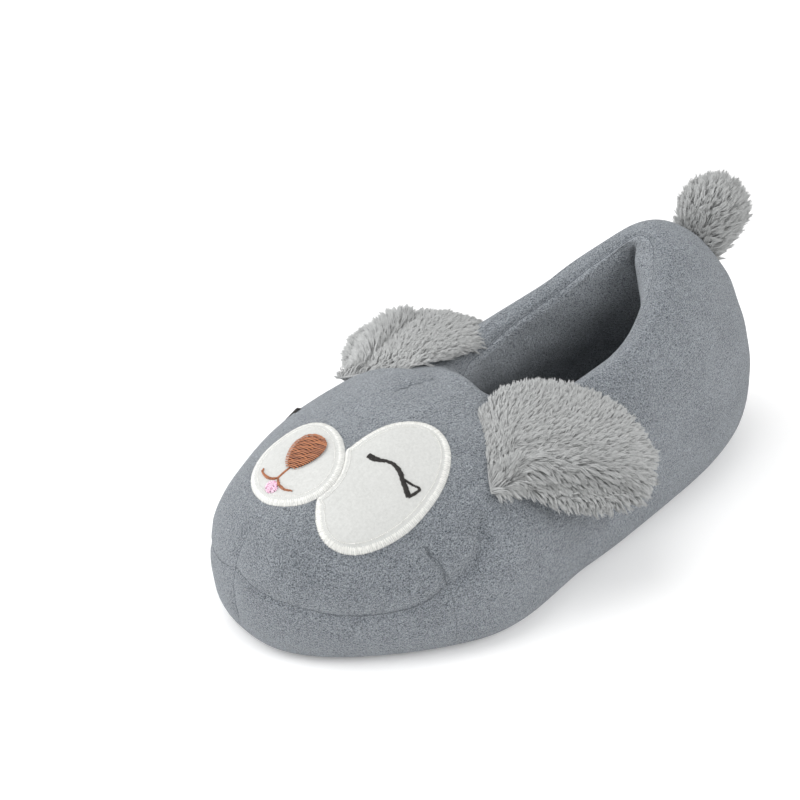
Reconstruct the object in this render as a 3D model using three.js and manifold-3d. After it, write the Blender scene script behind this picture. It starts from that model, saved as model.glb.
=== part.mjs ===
// Plush animal slipper for the wearer's left foot.
// Millimetres, +X towards the toe, +Y towards the outer side, +Z up.
// The origin lies under the middle of the sole, on its bottom face.
import * as THREE from 'three';
import { mergeVertices } from 'three/addons/utils/BufferGeometryUtils.js';
import Module from 'manifold-3d';

const wasm = await Module();
wasm.setup();

// Driving sizes
const LENGTH = 285;
const BALL_WIDTH = 141;
const HEEL_HEIGHT = 114;
const COLLAR_WIDTH = 63;
const COLLAR_LENGTH = 116;
const COLLAR_BACK = 55.5;
const TOE_SWING = 3;
const ROLL_RADIUS = 9;
const THROAT_RADIUS = 7;
const GAP = 0.3;

// Underside
const SOLE_THICK = 5;
const SOLE_EDGE = 1.5;
const SOLE_INSET = 9.5;
const HEM_WIDTH = 8;
const PLUSH_LOW = 1.6;
const ARCH_RISE = 1.4;
const TOE_SPRING = 1.8;
const LUG_DEPTH = 1.2;
const LUG_PITCH = 13;
const LUG_LENGTH = 6.5;
const INSOLE_THICK = 8;
const INSOLE_CROWN = 1.5;

// Face, ears and tail
const FELT = 1.2;
const NOSE_RELIEF = 0.8;
const FACE_TURN = -2.6;
const MUZZLE_LENGTH = 43;
const MUZZLE_WIDTH = 39.4;
const EYE_LENGTH = 66.4;
const EYE_WIDTH = 39.4;
const NOSE_LENGTH = 19.4;
const NOSE_WIDTH = 14.4;
const EAR_LENGTH = 74;
const EAR_WIDTH = 60;
const EAR_THICK = 14;
const EAR_SINK = 2;
const EAR_SPREAD = 15;
const TAIL_LENGTH = 38;
const TAIL_WIDTH = 23;
const TAIL_SINK = 8;
const LOCK_LENGTH = 4;

// Resolution
const HALF = 34;
const WALL_ROWS = 10;
const ROLL_ROWS = 4;
const INNER_ROWS = 9;
const LIP_ROWS = 5;
const WALK_STEPS = 1200;
const DIRECTION_STEP = 0.004;
const PATCH_POINTS = 36;
const EAR_ROWS = 16;
const EAR_AROUND = 24;
const TAIL_ROWS = 12;
const TAIL_AROUND = 20;
const WELD = 1e-4;

// Cross sections, heel to toe: place as a share of the length, half width as a share of
// the half ball width, and the height of the widest line as a share of the heel height
const SECTIONS = [
  { at: 0.00, width: 0.785, belly: 0.250 },
  { at: 0.25, width: 0.775, belly: 0.240 },
  { at: 0.50, width: 0.840, belly: 0.150 },
  { at: 0.74, width: 1.060, belly: 0.115 },
  { at: 1.00, width: 0.985, belly: 0.245 },
];
const OUTLINE_SQUARE = 0.85;

// Collar crest, heel to throat: height as a share of the heel height, half width as a
// share of half the collar width, and how square the plan is
const COLLAR = [
  { at: 0.00, height: 1.000, width: 0.90, square: 0.85 },
  { at: 0.20, height: 0.865, width: 0.96, square: 0.85 },
  { at: 0.35, height: 0.752, width: 1.00, square: 0.85 },
  { at: 0.52, height: 0.688, width: 1.00, square: 0.80 },
  { at: 0.66, height: 0.650, width: 0.98, square: 0.70 },
  { at: 0.80, height: 0.650, width: 0.92, square: 0.60 },
  { at: 1.00, height: 0.728, width: 0.80, square: 0.55 },
];

// Which share of the collar each share of the outline runs up to
const REACH = [
  { at: 0.00, collar: 0.00 },
  { at: 0.20, collar: 0.34 },
  { at: 0.50, collar: 0.76 },
  { at: 0.72, collar: 0.90 },
  { at: 1.00, collar: 1.00 },
];

// How full the stuffed wall stands between crest and widest line
const FULLNESS = [
  { at: 0.00, power: 1.66 },
  { at: 0.40, power: 2.06 },
  { at: 1.00, power: 2.15 },
];

// Lining from the sides, at 0, to the throat, at 1: how far the lip rolls over in half
// turns, how far out and down its fall starts, and how high its foot stands up
const THROAT_START = 0.72;
const THROAT_RUN = 0.2;
const LINING = [
  { at: 0, turn: 0.5, out: 0.40, hang: 0.25, stand: 0.45 },
  { at: 1, turn: 1.0, out: 0.85, hang: 0.00, stand: 0.80 },
];

// Swing of the toe, arch and toe lift: where each starts and its run, as shares of the length
const SWING_START = 0.4;
const SWING_RUN = 0.6;
const ARCH_BACK = 0.3;
const ARCH_FRONT = 0.49;
const ARCH_RUN = 0.07;
const SPRING_START = 0.86;
const SPRING_RUN = 0.12;

// Small helpers
const clamp01 = (t) => Math.min(1, Math.max(0, t));
const smooth = (t) => clamp01(t) ** 2 * (3 - 2 * clamp01(t));
const blend = (a, b, t) => a + (b - a) * t;

// Smooth value of one column of a table at a share, level at both ends of the table
function read(table, column, at) {
  const xs = table.map((row) => row.at);
  const ys = table.map((row) => row[column]);
  const last = xs.length - 1;
  const x = Math.min(xs[last], Math.max(xs[0], at));
  const rise = xs.slice(1).map((value, i) => (ys[i + 1] - ys[i]) / (value - xs[i]));
  const slope = xs.map((_, i) => {
    if (i === 0 || i === last) return 0;
    const product = rise[i - 1] * rise[i];
    return product <= 0 ? 0 : (2 * product) / (rise[i - 1] + rise[i]);
  });
  let i = 0;
  while (i < last - 1 && x > xs[i + 1]) i += 1;
  const step = xs[i + 1] - xs[i];
  const t = (x - xs[i]) / step;
  const from = ys[i] * (1 + 2 * t) * (1 - t) ** 2 + slope[i] * step * t * (1 - t) ** 2;
  return from + ys[i + 1] * t * t * (3 - 2 * t) + slope[i + 1] * step * t * t * (t - 1);
}

// A plan curve from heel to toe, walked by its own arc length
function walkable(pointAt) {
  const angles = Array.from({ length: WALK_STEPS + 1 }, (_, i) => (Math.PI * i) / WALK_STEPS);
  const points = angles.map(pointAt);
  const run = [0];
  for (let i = 1; i <= WALK_STEPS; i += 1) run.push(run[i - 1] + points[i].distanceTo(points[i - 1]));
  return (share) => {
    const goal = clamp01(share) * run[WALK_STEPS];
    let low = 0;
    let high = WALK_STEPS;
    while (high - low > 1) {
      const middle = (low + high) >> 1;
      if (run[middle] > goal) high = middle;
      else low = middle;
    }
    const t = (goal - run[low]) / (run[high] - run[low]);
    return points[low].clone().lerp(points[high], t);
  };
}

const outlineAt = walkable((angle) => {
  const share = (1 - Math.cos(angle)) / 2;
  const round = Math.max(Math.sin(angle), 0) ** OUTLINE_SQUARE;
  const y = (BALL_WIDTH / 2) * read(SECTIONS, 'width', share) * round;
  return new THREE.Vector2(LENGTH * (share - 0.5), y);
});

const collarAt = walkable((angle) => {
  const share = (1 - Math.cos(angle)) / 2;
  const round = Math.max(Math.sin(angle), 0) ** read(COLLAR, 'square', share);
  const y = (COLLAR_WIDTH / 2) * read(COLLAR, 'width', share) * round;
  return new THREE.Vector2(COLLAR_BACK - LENGTH / 2 + COLLAR_LENGTH * share, y);
});

// Outward direction of a plan curve; on the centre line it points straight along X
function outward(curve, share) {
  if (share <= 0) return new THREE.Vector2(-1, 0);
  if (share >= 1) return new THREE.Vector2(1, 0);
  const ahead = curve(Math.min(share + DIRECTION_STEP, 1));
  const along = ahead.sub(curve(Math.max(share - DIRECTION_STEP, 0))).normalize();
  return new THREE.Vector2(-along.y, along.x);
}

// The toe swings a little towards the inner side
const lengthShare = (x) => x / LENGTH + 0.5;
const swing = (x) => -TOE_SWING * smooth((lengthShare(x) - SWING_START) / SWING_RUN);

// One place on the slipper; side is 1 on the outer half and -1 on the inner half
function place(plan, z, side) {
  return new THREE.Vector3(plan.x, plan.y * side + swing(plan.x), z);
}

// The widest line and the collar crest at a share from heel to toe
function bellyAt(share) {
  const plan = outlineAt(share);
  const z = HEEL_HEIGHT * read(SECTIONS, 'belly', lengthShare(plan.x));
  return { plan, out: outward(outlineAt, share), z };
}

function crestAt(share) {
  const reach = read(REACH, 'collar', share);
  const z = HEEL_HEIGHT * read(COLLAR, 'height', reach);
  const throat = clamp01((reach - THROAT_START) / THROAT_RUN);
  return { plan: collarAt(reach), out: outward(collarAt, reach), z, throat };
}

// The stuffed outer wall, from the crest at depth 0 down to the widest line at depth 1
function wallAt(share, depth, side) {
  const belly = bellyAt(share);
  const crest = crestAt(share);
  const power = read(FULLNESS, 'power', share);
  const angle = (depth * Math.PI) / 2;
  const plan = crest.plan.clone().lerp(belly.plan, Math.sin(angle) ** (2 / power));
  const rise = Math.max(Math.cos(angle), 0) ** (2 / power);
  return place(plan, blend(belly.z, crest.z, rise), side);
}

// The soft edge that rolls in under the widest line to the sole
function rollAt(share, turn, side) {
  const belly = bellyAt(share);
  const angle = (turn * Math.PI) / 2;
  const plan = belly.plan.clone().addScaledVector(belly.out, -SOLE_INSET * (1 - Math.cos(angle)));
  return place(plan, blend(belly.z, PLUSH_LOW, Math.sin(angle)), side);
}

// A line under the foot, set in from the widest line
function insetAt(share, inset, z, side) {
  const belly = bellyAt(share);
  return place(belly.plan.clone().addScaledVector(belly.out, -inset), z, side);
}

// The rolled lip, from the crest at run 0 over to the lining at run 1
function lipPlan(share, run) {
  const crest = crestAt(share);
  const radius = blend(ROLL_RADIUS, THROAT_RADIUS, smooth(crest.throat));
  const angle = run * Math.PI * read(LINING, 'turn', crest.throat);
  const plan = crest.plan.clone().addScaledVector(crest.out, -radius * Math.sin(angle));
  return { plan, z: crest.z - radius * (1 - Math.cos(angle)) };
}

function lipAt(share, run, side) {
  const lip = lipPlan(share, run);
  return place(lip.plan, lip.z, side);
}

// The lining, from the lip at run 0 down to the edge of the insole at run 1
const INSOLE_LOW = SOLE_THICK + GAP;
const INSOLE_TOP = INSOLE_LOW + INSOLE_THICK;
const LINING_LOW = INSOLE_TOP + 2 * GAP;

function liningAt(share, run, side) {
  const belly = bellyAt(share);
  const { throat } = crestAt(share);
  const lip = lipPlan(share, 1);
  const foot = belly.plan.clone().addScaledVector(belly.out, -(SOLE_INSET + HEM_WIDTH));
  const drop = lip.z - LINING_LOW;
  const fall = new THREE.CubicBezierCurve(
    new THREE.Vector2(0, lip.z),
    new THREE.Vector2(read(LINING, 'out', throat), lip.z - read(LINING, 'hang', throat) * drop),
    new THREE.Vector2(1, LINING_LOW + read(LINING, 'stand', throat) * drop),
    new THREE.Vector2(1, LINING_LOW),
  ).getPoint(run);
  return place(lip.plan.clone().lerp(foot, fall.x), fall.y, side);
}

// A ring right round the slipper: the outer half from heel to toe, then the inner half back
function ringOf(pointAt) {
  const ring = [];
  for (let i = 0; i <= HALF; i += 1) ring.push(pointAt(i / HALF, 1));
  for (let i = HALF - 1; i > 0; i -= 1) ring.push(pointAt(i / HALF, -1));
  return ring;
}

// Mesh from points and triangles, turned so that its faces point out
function geometryOf(points, triangles) {
  let volume = 0;
  for (const [a, b, c] of triangles) {
    volume += points[a].dot(points[b].clone().cross(points[c]));
  }
  const faces = volume < 0 ? triangles.map(([a, b, c]) => [a, c, b]) : triangles;
  const geometry = new THREE.BufferGeometry();
  const flat = points.flatMap((point) => [point.x, point.y, point.z]);
  geometry.setAttribute('position', new THREE.Float32BufferAttribute(flat, 3));
  geometry.setIndex(faces.flat());
  return geometry;
}

// Triangles that close a ring by strips running across from its outer to its inner half
function stripAcross(start, count) {
  const triangles = [];
  for (let i = 0; i < count / 2; i += 1) {
    const a = start + i;
    const b = start + i + 1;
    const c = start + ((count - i - 1) % count);
    const d = start + ((count - i) % count);
    if (c !== b) triangles.push([a, b, c]);
    if (d !== a) triangles.push([a, c, d]);
  }
  return triangles;
}

// Triangles that close a ring with a fan around its middle, which is added to the points
function fanAcross(start, count, points) {
  const middle = new THREE.Vector3();
  for (let i = 0; i < count; i += 1) middle.addScaledVector(points[start + i], 1 / count);
  points.push(middle);
  const hub = points.length - 1;
  return Array.from({ length: count }, (_, i) => [start + i, start + ((i + 1) % count), hub]);
}

// Closed skin through a stack of rings: ends is 'loop', 'strip' or 'fan'
function skinOf(rings, ends) {
  const count = rings[0].length;
  const points = rings.flat();
  const triangles = [];
  const stitched = ends === 'loop' ? rings.length : rings.length - 1;
  for (let r = 0; r < stitched; r += 1) {
    const next = (r + 1) % rings.length;
    for (let i = 0; i < count; i += 1) {
      const j = (i + 1) % count;
      const corners = [r * count + i, r * count + j, next * count + j, next * count + i];
      triangles.push([corners[0], corners[1], corners[2]], [corners[0], corners[2], corners[3]]);
    }
  }
  if (ends !== 'loop') {
    const top = (rings.length - 1) * count;
    const close = ends === 'strip' ? stripAcross : fanAcross;
    const turned = close(0, count, points).map(([a, b, c]) => [a, c, b]);
    triangles.push(...turned, ...close(top, count, points));
  }
  return geometryOf(points, triangles);
}

// Closed meshes to solids and back
function solidOf(geometry) {
  const bare = new THREE.BufferGeometry();
  bare.setAttribute('position', geometry.getAttribute('position').clone());
  if (geometry.index) bare.setIndex(geometry.index.clone());
  const merged = mergeVertices(bare, WELD);
  return new wasm.Manifold(new wasm.Mesh({
    numProp: 3,
    vertProperties: new Float32Array(merged.getAttribute('position').array),
    triVerts: new Uint32Array(merged.index.array),
  }));
}

function meshOf(solid) {
  const { vertProperties, triVerts } = solid.getMesh();
  const geometry = new THREE.BufferGeometry();
  geometry.setAttribute('position', new THREE.BufferAttribute(vertProperties, 3));
  geometry.setIndex(new THREE.BufferAttribute(triVerts, 1));
  return geometry;
}

// Shares from 0 to 1 in equal steps; from leaves out the first ones
function rows(count, from = 0) {
  return Array.from({ length: count + 1 - from }, (_, i) => (i + from) / count);
}

const outerRings = () => [
  ...rows(WALL_ROWS).map((depth) => ringOf((share, side) => wallAt(share, depth, side))),
  ...rows(ROLL_ROWS, 1).map((turn) => ringOf((share, side) => rollAt(share, turn, side))),
];

// Upper: one hollow padded shell, open at the collar and underneath
function upperGeometry() {
  const lip = rows(LIP_ROWS, 1).slice(0, -1).reverse();
  return skinOf([
    ...outerRings(),
    ringOf((share, side) => insetAt(share, SOLE_INSET, SOLE_THICK + GAP, side)),
    ringOf((share, side) => insetAt(share, SOLE_INSET + HEM_WIDTH, SOLE_THICK + GAP, side)),
    ...rows(INNER_ROWS).reverse().map((run) => ringOf((share, side) => liningAt(share, run, side))),
    ...lip.map((run) => ringOf((share, side) => lipAt(share, run, side))),
  ], 'loop');
}

// The whole outer form, grown by an offset; what lies on the plush is cut by it
function envelope(offset) {
  const geometry = skinOf(outerRings(), 'strip');
  geometry.computeVertexNormals();
  const position = geometry.getAttribute('position');
  const normal = geometry.getAttribute('normal');
  const point = new THREE.Vector3();
  const away = new THREE.Vector3();
  for (let i = 0; i < position.count; i += 1) {
    point.fromBufferAttribute(position, i);
    point.addScaledVector(away.fromBufferAttribute(normal, i), offset);
    position.setXYZ(i, point.x, point.y, point.z);
  }
  return solidOf(geometry);
}

// Sole: thin grip sheet with an arch, a toe spring and bars under heel and forefoot
function soleRise(x) {
  const share = lengthShare(x);
  const up = smooth((share - ARCH_BACK) / ARCH_RUN);
  const down = smooth((ARCH_FRONT - share) / ARCH_RUN);
  const toe = smooth((share - SPRING_START) / SPRING_RUN);
  return LUG_DEPTH + ARCH_RISE * up * down + TOE_SPRING * toe;
}

function outsoleGeometry() {
  const edge = SOLE_INSET + GAP;
  const risen = (inset, above) => ringOf((share, side) => {
    const point = insetAt(share, inset, above, side);
    return point.setZ(above + soleRise(point.x));
  });
  let sole = solidOf(skinOf([
    ringOf((share, side) => insetAt(share, edge, SOLE_THICK, side)),
    risen(edge, SOLE_EDGE),
    risen(edge + SOLE_EDGE, 0),
  ], 'strip'));
  const treadField = solidOf(skinOf([
    ringOf((share, side) => insetAt(share, edge + 2 * SOLE_EDGE, 0, side)),
    ringOf((share, side) => insetAt(share, edge + 2 * SOLE_EDGE, SOLE_THICK, side)),
  ], 'strip'));
  const barTop = (LUG_DEPTH + SOLE_THICK) / 2;
  const reach = Math.floor(LENGTH / 2 / LUG_PITCH);
  for (let i = -reach; i <= reach; i += 1) {
    const share = lengthShare(i * LUG_PITCH);
    const underArch = share > ARCH_BACK && share < ARCH_FRONT;
    if (underArch || share > SPRING_START) continue;
    const bar = new THREE.BoxGeometry(LUG_LENGTH, BALL_WIDTH, barTop);
    bar.translate(i * LUG_PITCH, 0, barTop / 2);
    sole = sole.add(solidOf(bar).intersect(treadField));
  }
  return meshOf(sole);
}

// Insole: soft pad on the sole, inside the hem of the upper
function insoleGeometry() {
  const edge = SOLE_INSET + HEM_WIDTH + GAP;
  return skinOf([
    ringOf((share, side) => insetAt(share, edge, INSOLE_LOW, side)),
    ringOf((share, side) => insetAt(share, edge, INSOLE_TOP - INSOLE_CROWN, side)),
    ringOf((share, side) => insetAt(share, edge + 2 * INSOLE_CROWN, INSOLE_TOP, side)),
  ], 'strip');
}

// Face: felt patches lie on the vamp and are cut through it along one slanting direction.
// Its middle is a place down the centre line of the vamp, turned towards the inner side
const FACE_DEPTH = 0.42;
const FACE_POINT = wallAt(1, FACE_DEPTH, 1).add(new THREE.Vector3(0, FACE_TURN, 0));
const FACE_OUT = new THREE.Vector3(0.42, 0.16, 0.89).normalize();
const FACE_DOWN = new THREE.Vector3(1, 0, 0).addScaledVector(FACE_OUT, -FACE_OUT.x).normalize();
const FACE_LEFT = FACE_OUT.clone().cross(FACE_DOWN);
const PRISM_DEPTH = 0.8 * HEEL_HEIGHT;

// Places on the face in millimetres down and left from its middle, the turn of each
// outline, and how much wider its end towards the toe is
const MUZZLE = { down: 4.5, left: -2, turn: 0.6, blunt: 0.12 };
const EYE = { down: -12.3, left: 29.3, turn: 0.19, blunt: -0.07 };
const NOSE_UP = 0.112;
const NOSE = { down: MUZZLE.down - NOSE_UP * MUZZLE_LENGTH, left: -2.5, turn: 0.26, blunt: -0.22 };

function eggShape(length, width, blunt) {
  const points = rows(PATCH_POINTS, 1).map((share) => {
    const angle = 2 * Math.PI * share;
    const half = (width / 2) * (1 + blunt * Math.cos(angle));
    return new THREE.Vector2((length / 2) * Math.cos(angle), half * Math.sin(angle));
  });
  return new THREE.Shape(points);
}

// Prism of an outline through the face, grown all round by an offset
function facePrism(length, width, { down, left, turn, blunt }, offset = 0) {
  const shape = eggShape(length + 2 * offset, width + 2 * offset, blunt);
  const prism = new THREE.ExtrudeGeometry(shape, { depth: PRISM_DEPTH, bevelEnabled: false });
  prism.translate(0, 0, -PRISM_DEPTH / 2);
  prism.rotateZ(turn);
  prism.translate(down, left, 0);
  const frame = new THREE.Matrix4().makeBasis(FACE_DOWN, FACE_LEFT, FACE_OUT);
  prism.applyMatrix4(frame.setPosition(FACE_POINT));
  return solidOf(prism);
}

const muzzlePrism = (offset) => facePrism(MUZZLE_LENGTH, MUZZLE_WIDTH, MUZZLE, offset);
const eyePrism = (offset) => facePrism(EYE_LENGTH, EYE_WIDTH, EYE, offset);
const layer = (low, high) => envelope(high).subtract(envelope(low));
const FELT_TOP = GAP + FELT;
const NOSE_LOW = FELT_TOP + GAP;

const muzzleSolid = () => layer(GAP, FELT_TOP).intersect(muzzlePrism(0));
const eyeSolid = () => layer(GAP, FELT_TOP).intersect(eyePrism(0)).subtract(muzzlePrism(GAP));

function noseSolid() {
  const prism = facePrism(NOSE_LENGTH, NOSE_WIDTH, NOSE);
  return layer(NOSE_LOW, NOSE_LOW + NOSE_RELIEF).intersect(prism);
}

// Stuffed fur flap along a spine: rows of locks, every second one standing out and
// combed towards the tip, by these shares of a lock's length
const LOCK_OUT = 0.6;
const LOCK_ALONG = 0.6;

function furGeometry({ base, toward, across, sections, length, width, thick, count, around }) {
  const along = toward.clone().sub(base).normalize();
  const flat = across.clone().addScaledVector(along, -across.dot(along)).normalize();
  const up = along.clone().cross(flat);
  const ringAt = (row) => {
    const share = row / count;
    const half = (width / 2) * read(sections, 'width', share);
    const deep = (thick / 2) * read(sections, 'thick', share);
    return Array.from({ length: around }, (_, i) => {
      const angle = (2 * Math.PI * (i + (row % 2) / 2)) / around;
      const lock = (i + row) % 2 === 0 && row > 0 ? LOCK_LENGTH : 0;
      const side = (half + LOCK_OUT * lock) * Math.cos(angle);
      const top = (deep + LOCK_OUT * lock) * Math.sin(angle);
      const point = base.clone().addScaledVector(along, length * share + LOCK_ALONG * lock);
      return point.addScaledVector(flat, side).addScaledVector(up, top);
    });
  };
  return skinOf(Array.from({ length: count + 1 }, (_, row) => ringAt(row)), 'fan');
}

// Ear from root to tip, as shares of its width and thickness. It is sewn on along a line
// from beside the throat down the side, and lies back along the collar wall
const EAR_SECTIONS = [
  { at: 0.00, width: 0.78, thick: 0.45 },
  { at: 0.15, width: 0.92, thick: 0.85 },
  { at: 0.50, width: 1.00, thick: 1.00 },
  { at: 0.80, width: 0.86, thick: 0.85 },
  { at: 0.94, width: 0.52, thick: 0.60 },
  { at: 1.00, width: 0.16, thick: 0.25 },
];
const EAR_SEAT = { share: 0.691, depth: 0.224 };
const EAR_SEAM_TOP = { share: 0.722, depth: 0.026 };
const EAR_SEAM_FOOT = { share: 0.682, depth: 0.477 };
const EAR_REST = { share: 0.382, depth: 0.594 };

function earSolid(side) {
  const onWall = ({ share, depth }) => wallAt(share, depth, side);
  const flap = furGeometry({
    base: onWall(EAR_SEAT).add(new THREE.Vector3(0, 0, -EAR_SINK)),
    toward: onWall(EAR_REST).add(new THREE.Vector3(0, side * EAR_SPREAD, 0)),
    across: onWall(EAR_SEAM_FOOT).sub(onWall(EAR_SEAM_TOP)),
    sections: EAR_SECTIONS,
    length: EAR_LENGTH,
    width: EAR_WIDTH,
    thick: EAR_THICK,
    count: EAR_ROWS,
    around: EAR_AROUND,
  });
  return solidOf(flap).subtract(envelope(GAP)).subtract(eyePrism(GAP).intersect(envelope(NOSE_LOW)));
}

// Tail from root to tip, sewn on high up behind the heel
const TAIL_SECTIONS = [
  { at: 0.00, width: 0.60, thick: 0.60 },
  { at: 0.35, width: 0.85, thick: 0.85 },
  { at: 0.70, width: 1.00, thick: 1.00 },
  { at: 0.92, width: 0.62, thick: 0.62 },
  { at: 1.00, width: 0.20, thick: 0.20 },
];
const TAIL_SEAT = 0.4;
const TAIL_LEAN = new THREE.Vector3(-0.5, 0, 0.87);

function tailSolid() {
  const base = wallAt(0, TAIL_SEAT, 1).addScaledVector(TAIL_LEAN, -TAIL_SINK);
  const stub = furGeometry({
    base,
    toward: base.clone().add(TAIL_LEAN),
    across: new THREE.Vector3(0, 1, 0),
    sections: TAIL_SECTIONS,
    length: TAIL_LENGTH,
    width: TAIL_WIDTH,
    thick: TAIL_WIDTH,
    count: TAIL_ROWS,
    around: TAIL_AROUND,
  });
  return solidOf(stub).subtract(envelope(GAP));
}

// Scene graph
const slipper = new THREE.Group();

function addPiece(name, geometry, color, roughness) {
  const material = new THREE.MeshStandardMaterial({ color, roughness, metalness: 0 });
  const mesh = new THREE.Mesh(geometry, material);
  mesh.name = name;
  slipper.add(mesh);
}

addPiece('outsole', outsoleGeometry(), 0x4a4d52, 0.8);
addPiece('upper', upperGeometry(), 0x7d848c, 0.95);
addPiece('insole', insoleGeometry(), 0x7d848c, 0.95);
addPiece('muzzle_patch', meshOf(muzzleSolid()), 0xe4e5e4, 0.9);
addPiece('eye_patch', meshOf(eyeSolid()), 0xe4e5e4, 0.9);
addPiece('nose', meshOf(noseSolid()), 0x96502d, 0.6);
addPiece('ear_outer', meshOf(earSolid(1)), 0xafb0b0, 0.98);
addPiece('ear_inner', meshOf(earSolid(-1)), 0xafb0b0, 0.98);
addPiece('tail', meshOf(tailSolid()), 0xafb0b0, 0.98);

export default slipper;
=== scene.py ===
"""Stuffed plush slipper with an animal face, for the left foot."""
import math
import bmesh
import bpy
import numpy as np
from mathutils import Matrix, Vector
from mathutils.bvhtree import BVHTree
from mathutils.kdtree import KDTree


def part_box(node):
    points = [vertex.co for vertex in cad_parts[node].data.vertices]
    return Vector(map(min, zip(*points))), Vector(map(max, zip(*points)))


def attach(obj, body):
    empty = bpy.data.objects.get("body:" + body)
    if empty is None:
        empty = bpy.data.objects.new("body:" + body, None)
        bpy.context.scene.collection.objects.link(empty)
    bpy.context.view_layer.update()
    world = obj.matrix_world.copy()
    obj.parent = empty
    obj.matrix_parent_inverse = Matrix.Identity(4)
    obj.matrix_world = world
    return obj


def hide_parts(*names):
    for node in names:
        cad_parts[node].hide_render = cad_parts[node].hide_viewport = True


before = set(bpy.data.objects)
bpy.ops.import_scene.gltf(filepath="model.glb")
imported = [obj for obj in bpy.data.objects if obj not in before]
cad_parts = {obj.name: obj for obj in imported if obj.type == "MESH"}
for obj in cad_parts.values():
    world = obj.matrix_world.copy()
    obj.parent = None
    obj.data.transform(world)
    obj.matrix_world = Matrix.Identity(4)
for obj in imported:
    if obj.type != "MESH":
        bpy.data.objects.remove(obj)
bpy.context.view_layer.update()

# Sizes in millimetres; the overall ones come from the frame
MM = 0.001
UPPER_LOW, UPPER_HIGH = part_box("upper")
LENGTH = (UPPER_HIGH.x - UPPER_LOW.x) / MM
HEEL_HEIGHT = UPPER_HIGH.z / MM
BALL_WIDTH = 141.0
COLLAR_WIDTH = 63.0
COLLAR_LENGTH = 116.0
COLLAR_BACK = 55.5
TOE_SWING = 3.0
ROLL_RADIUS = 9.0
THROAT_RADIUS = 7.0
GAP = 0.3
SOLE_THICK = 5.0
SOLE_INSET = 9.5
HEM_WIDTH = 8.0
PLUSH_LOW = 1.6
INSOLE_THICK = 8.0
INSOLE_CROWN = 1.5
FELT = 1.2

# Cross sections from heel to toe, the collar, and how the wall runs between them
SECTIONS = {
    "at": [0.0, 0.25, 0.50, 0.74, 1.0],
    "width": [0.785, 0.775, 0.840, 1.060, 0.985],
    "belly": [0.250, 0.240, 0.150, 0.115, 0.245],
}
COLLAR = {
    "at": [0.0, 0.20, 0.35, 0.52, 0.66, 0.80, 1.0],
    "height": [1.0, 0.865, 0.752, 0.688, 0.650, 0.650, 0.728],
    "width": [0.90, 0.96, 1.00, 1.00, 0.98, 0.92, 0.80],
    "square": [0.85, 0.85, 0.85, 0.80, 0.70, 0.60, 0.55],
}
REACH = {"at": [0.0, 0.20, 0.50, 0.72, 1.0], "collar": [0.0, 0.34, 0.76, 0.90, 1.0]}
FULLNESS = {"at": [0.0, 0.40, 1.0], "power": [1.66, 2.06, 2.15]}
LINING = {
    "at": [0.0, 1.0],
    "turn": [0.42, 0.9],
    "out": [-0.28, 0.30],
    "hang": [0.42, 0.20],
    "stand": [0.50, 0.80],
}
HEEL_LINING_SHARE, HEEL_LINING_OUT = 0.14, 0.08
OUTLINE_SQUARE = 0.85
THROAT_START, THROAT_RUN = 0.72, 0.2
SWING_START, SWING_RUN = 0.4, 0.6
WALK_STEPS = 1200
DIRECTION_STEP = 0.004

# Fineness of the body mesh
HALF_COLUMNS = 230
WALL_ROWS = 100
ROLL_ROWS = 14
LINING_ROWS = 46
LIP_ROWS = 22
LIP_RUNS = np.linspace(1, 0, LIP_ROWS + 1)[1:-1]

# Kinds of rows on the body, from the collar's crest right round to it again
WALL, ROLL, HEM, INSIDE, LIP = range(5)

rng = np.random.default_rng(11)


# Small helpers
def smooth(t):
    t = np.clip(t, 0, 1)
    return t * t * (3 - 2 * t)


def blend(a, b, t):
    return a + (b - a) * t


def unit(v):
    return v / np.maximum(np.linalg.norm(v, axis=-1, keepdims=True), 1e-9)


def quarter_turn(v):
    return np.stack([-v[..., 1], v[..., 0]], -1)


def bend(start, end, slope, end_slope, step, t):
    """Smooth way from start to end over one step, with a given slope at each."""
    leaving = start * (1 + 2 * t) * (1 - t) ** 2 + slope * step * t * (1 - t) ** 2
    return leaving + end * t * t * (3 - 2 * t) + end_slope * step * t * t * (t - 1)


def read(table, name, at):
    """Smooth value of one column of a table, level at both ends."""
    xs = np.array(table["at"], float)
    ys = np.array(table[name], float)
    step = np.diff(xs)
    rise = np.diff(ys) / step
    slope = np.zeros(len(xs))
    for i in range(1, len(xs) - 1):
        if rise[i - 1] * rise[i] > 0:
            slope[i] = 2 * rise[i - 1] * rise[i] / (rise[i - 1] + rise[i])
    x = np.clip(np.asarray(at, float), xs[0], xs[-1])
    i = np.clip(np.searchsorted(xs, x) - 1, 0, len(xs) - 2)
    return bend(ys[i], ys[i + 1], slope[i], slope[i + 1], step[i], (x - xs[i]) / step[i])


def walkable(x, y):
    """A plan curve walked by its own arc length."""
    run = np.r_[0, np.cumsum(np.hypot(np.diff(x), np.diff(y)))]
    run /= run[-1]
    return lambda share: np.stack([np.interp(share, run, x), np.interp(share, run, y)], -1)


ANGLES = np.linspace(0, math.pi, WALK_STEPS + 1)
SHARES = (1 - np.cos(ANGLES)) / 2
ROUND = np.maximum(np.sin(ANGLES), 0)
ROUND[-1] = 0
outline_at = walkable(
    LENGTH * (SHARES - 0.5),
    BALL_WIDTH / 2 * read(SECTIONS, "width", SHARES) * ROUND ** OUTLINE_SQUARE,
)
collar_at = walkable(
    COLLAR_BACK - LENGTH / 2 + COLLAR_LENGTH * SHARES,
    COLLAR_WIDTH / 2 * read(COLLAR, "width", SHARES) * ROUND ** read(COLLAR, "square", SHARES),
)


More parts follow.
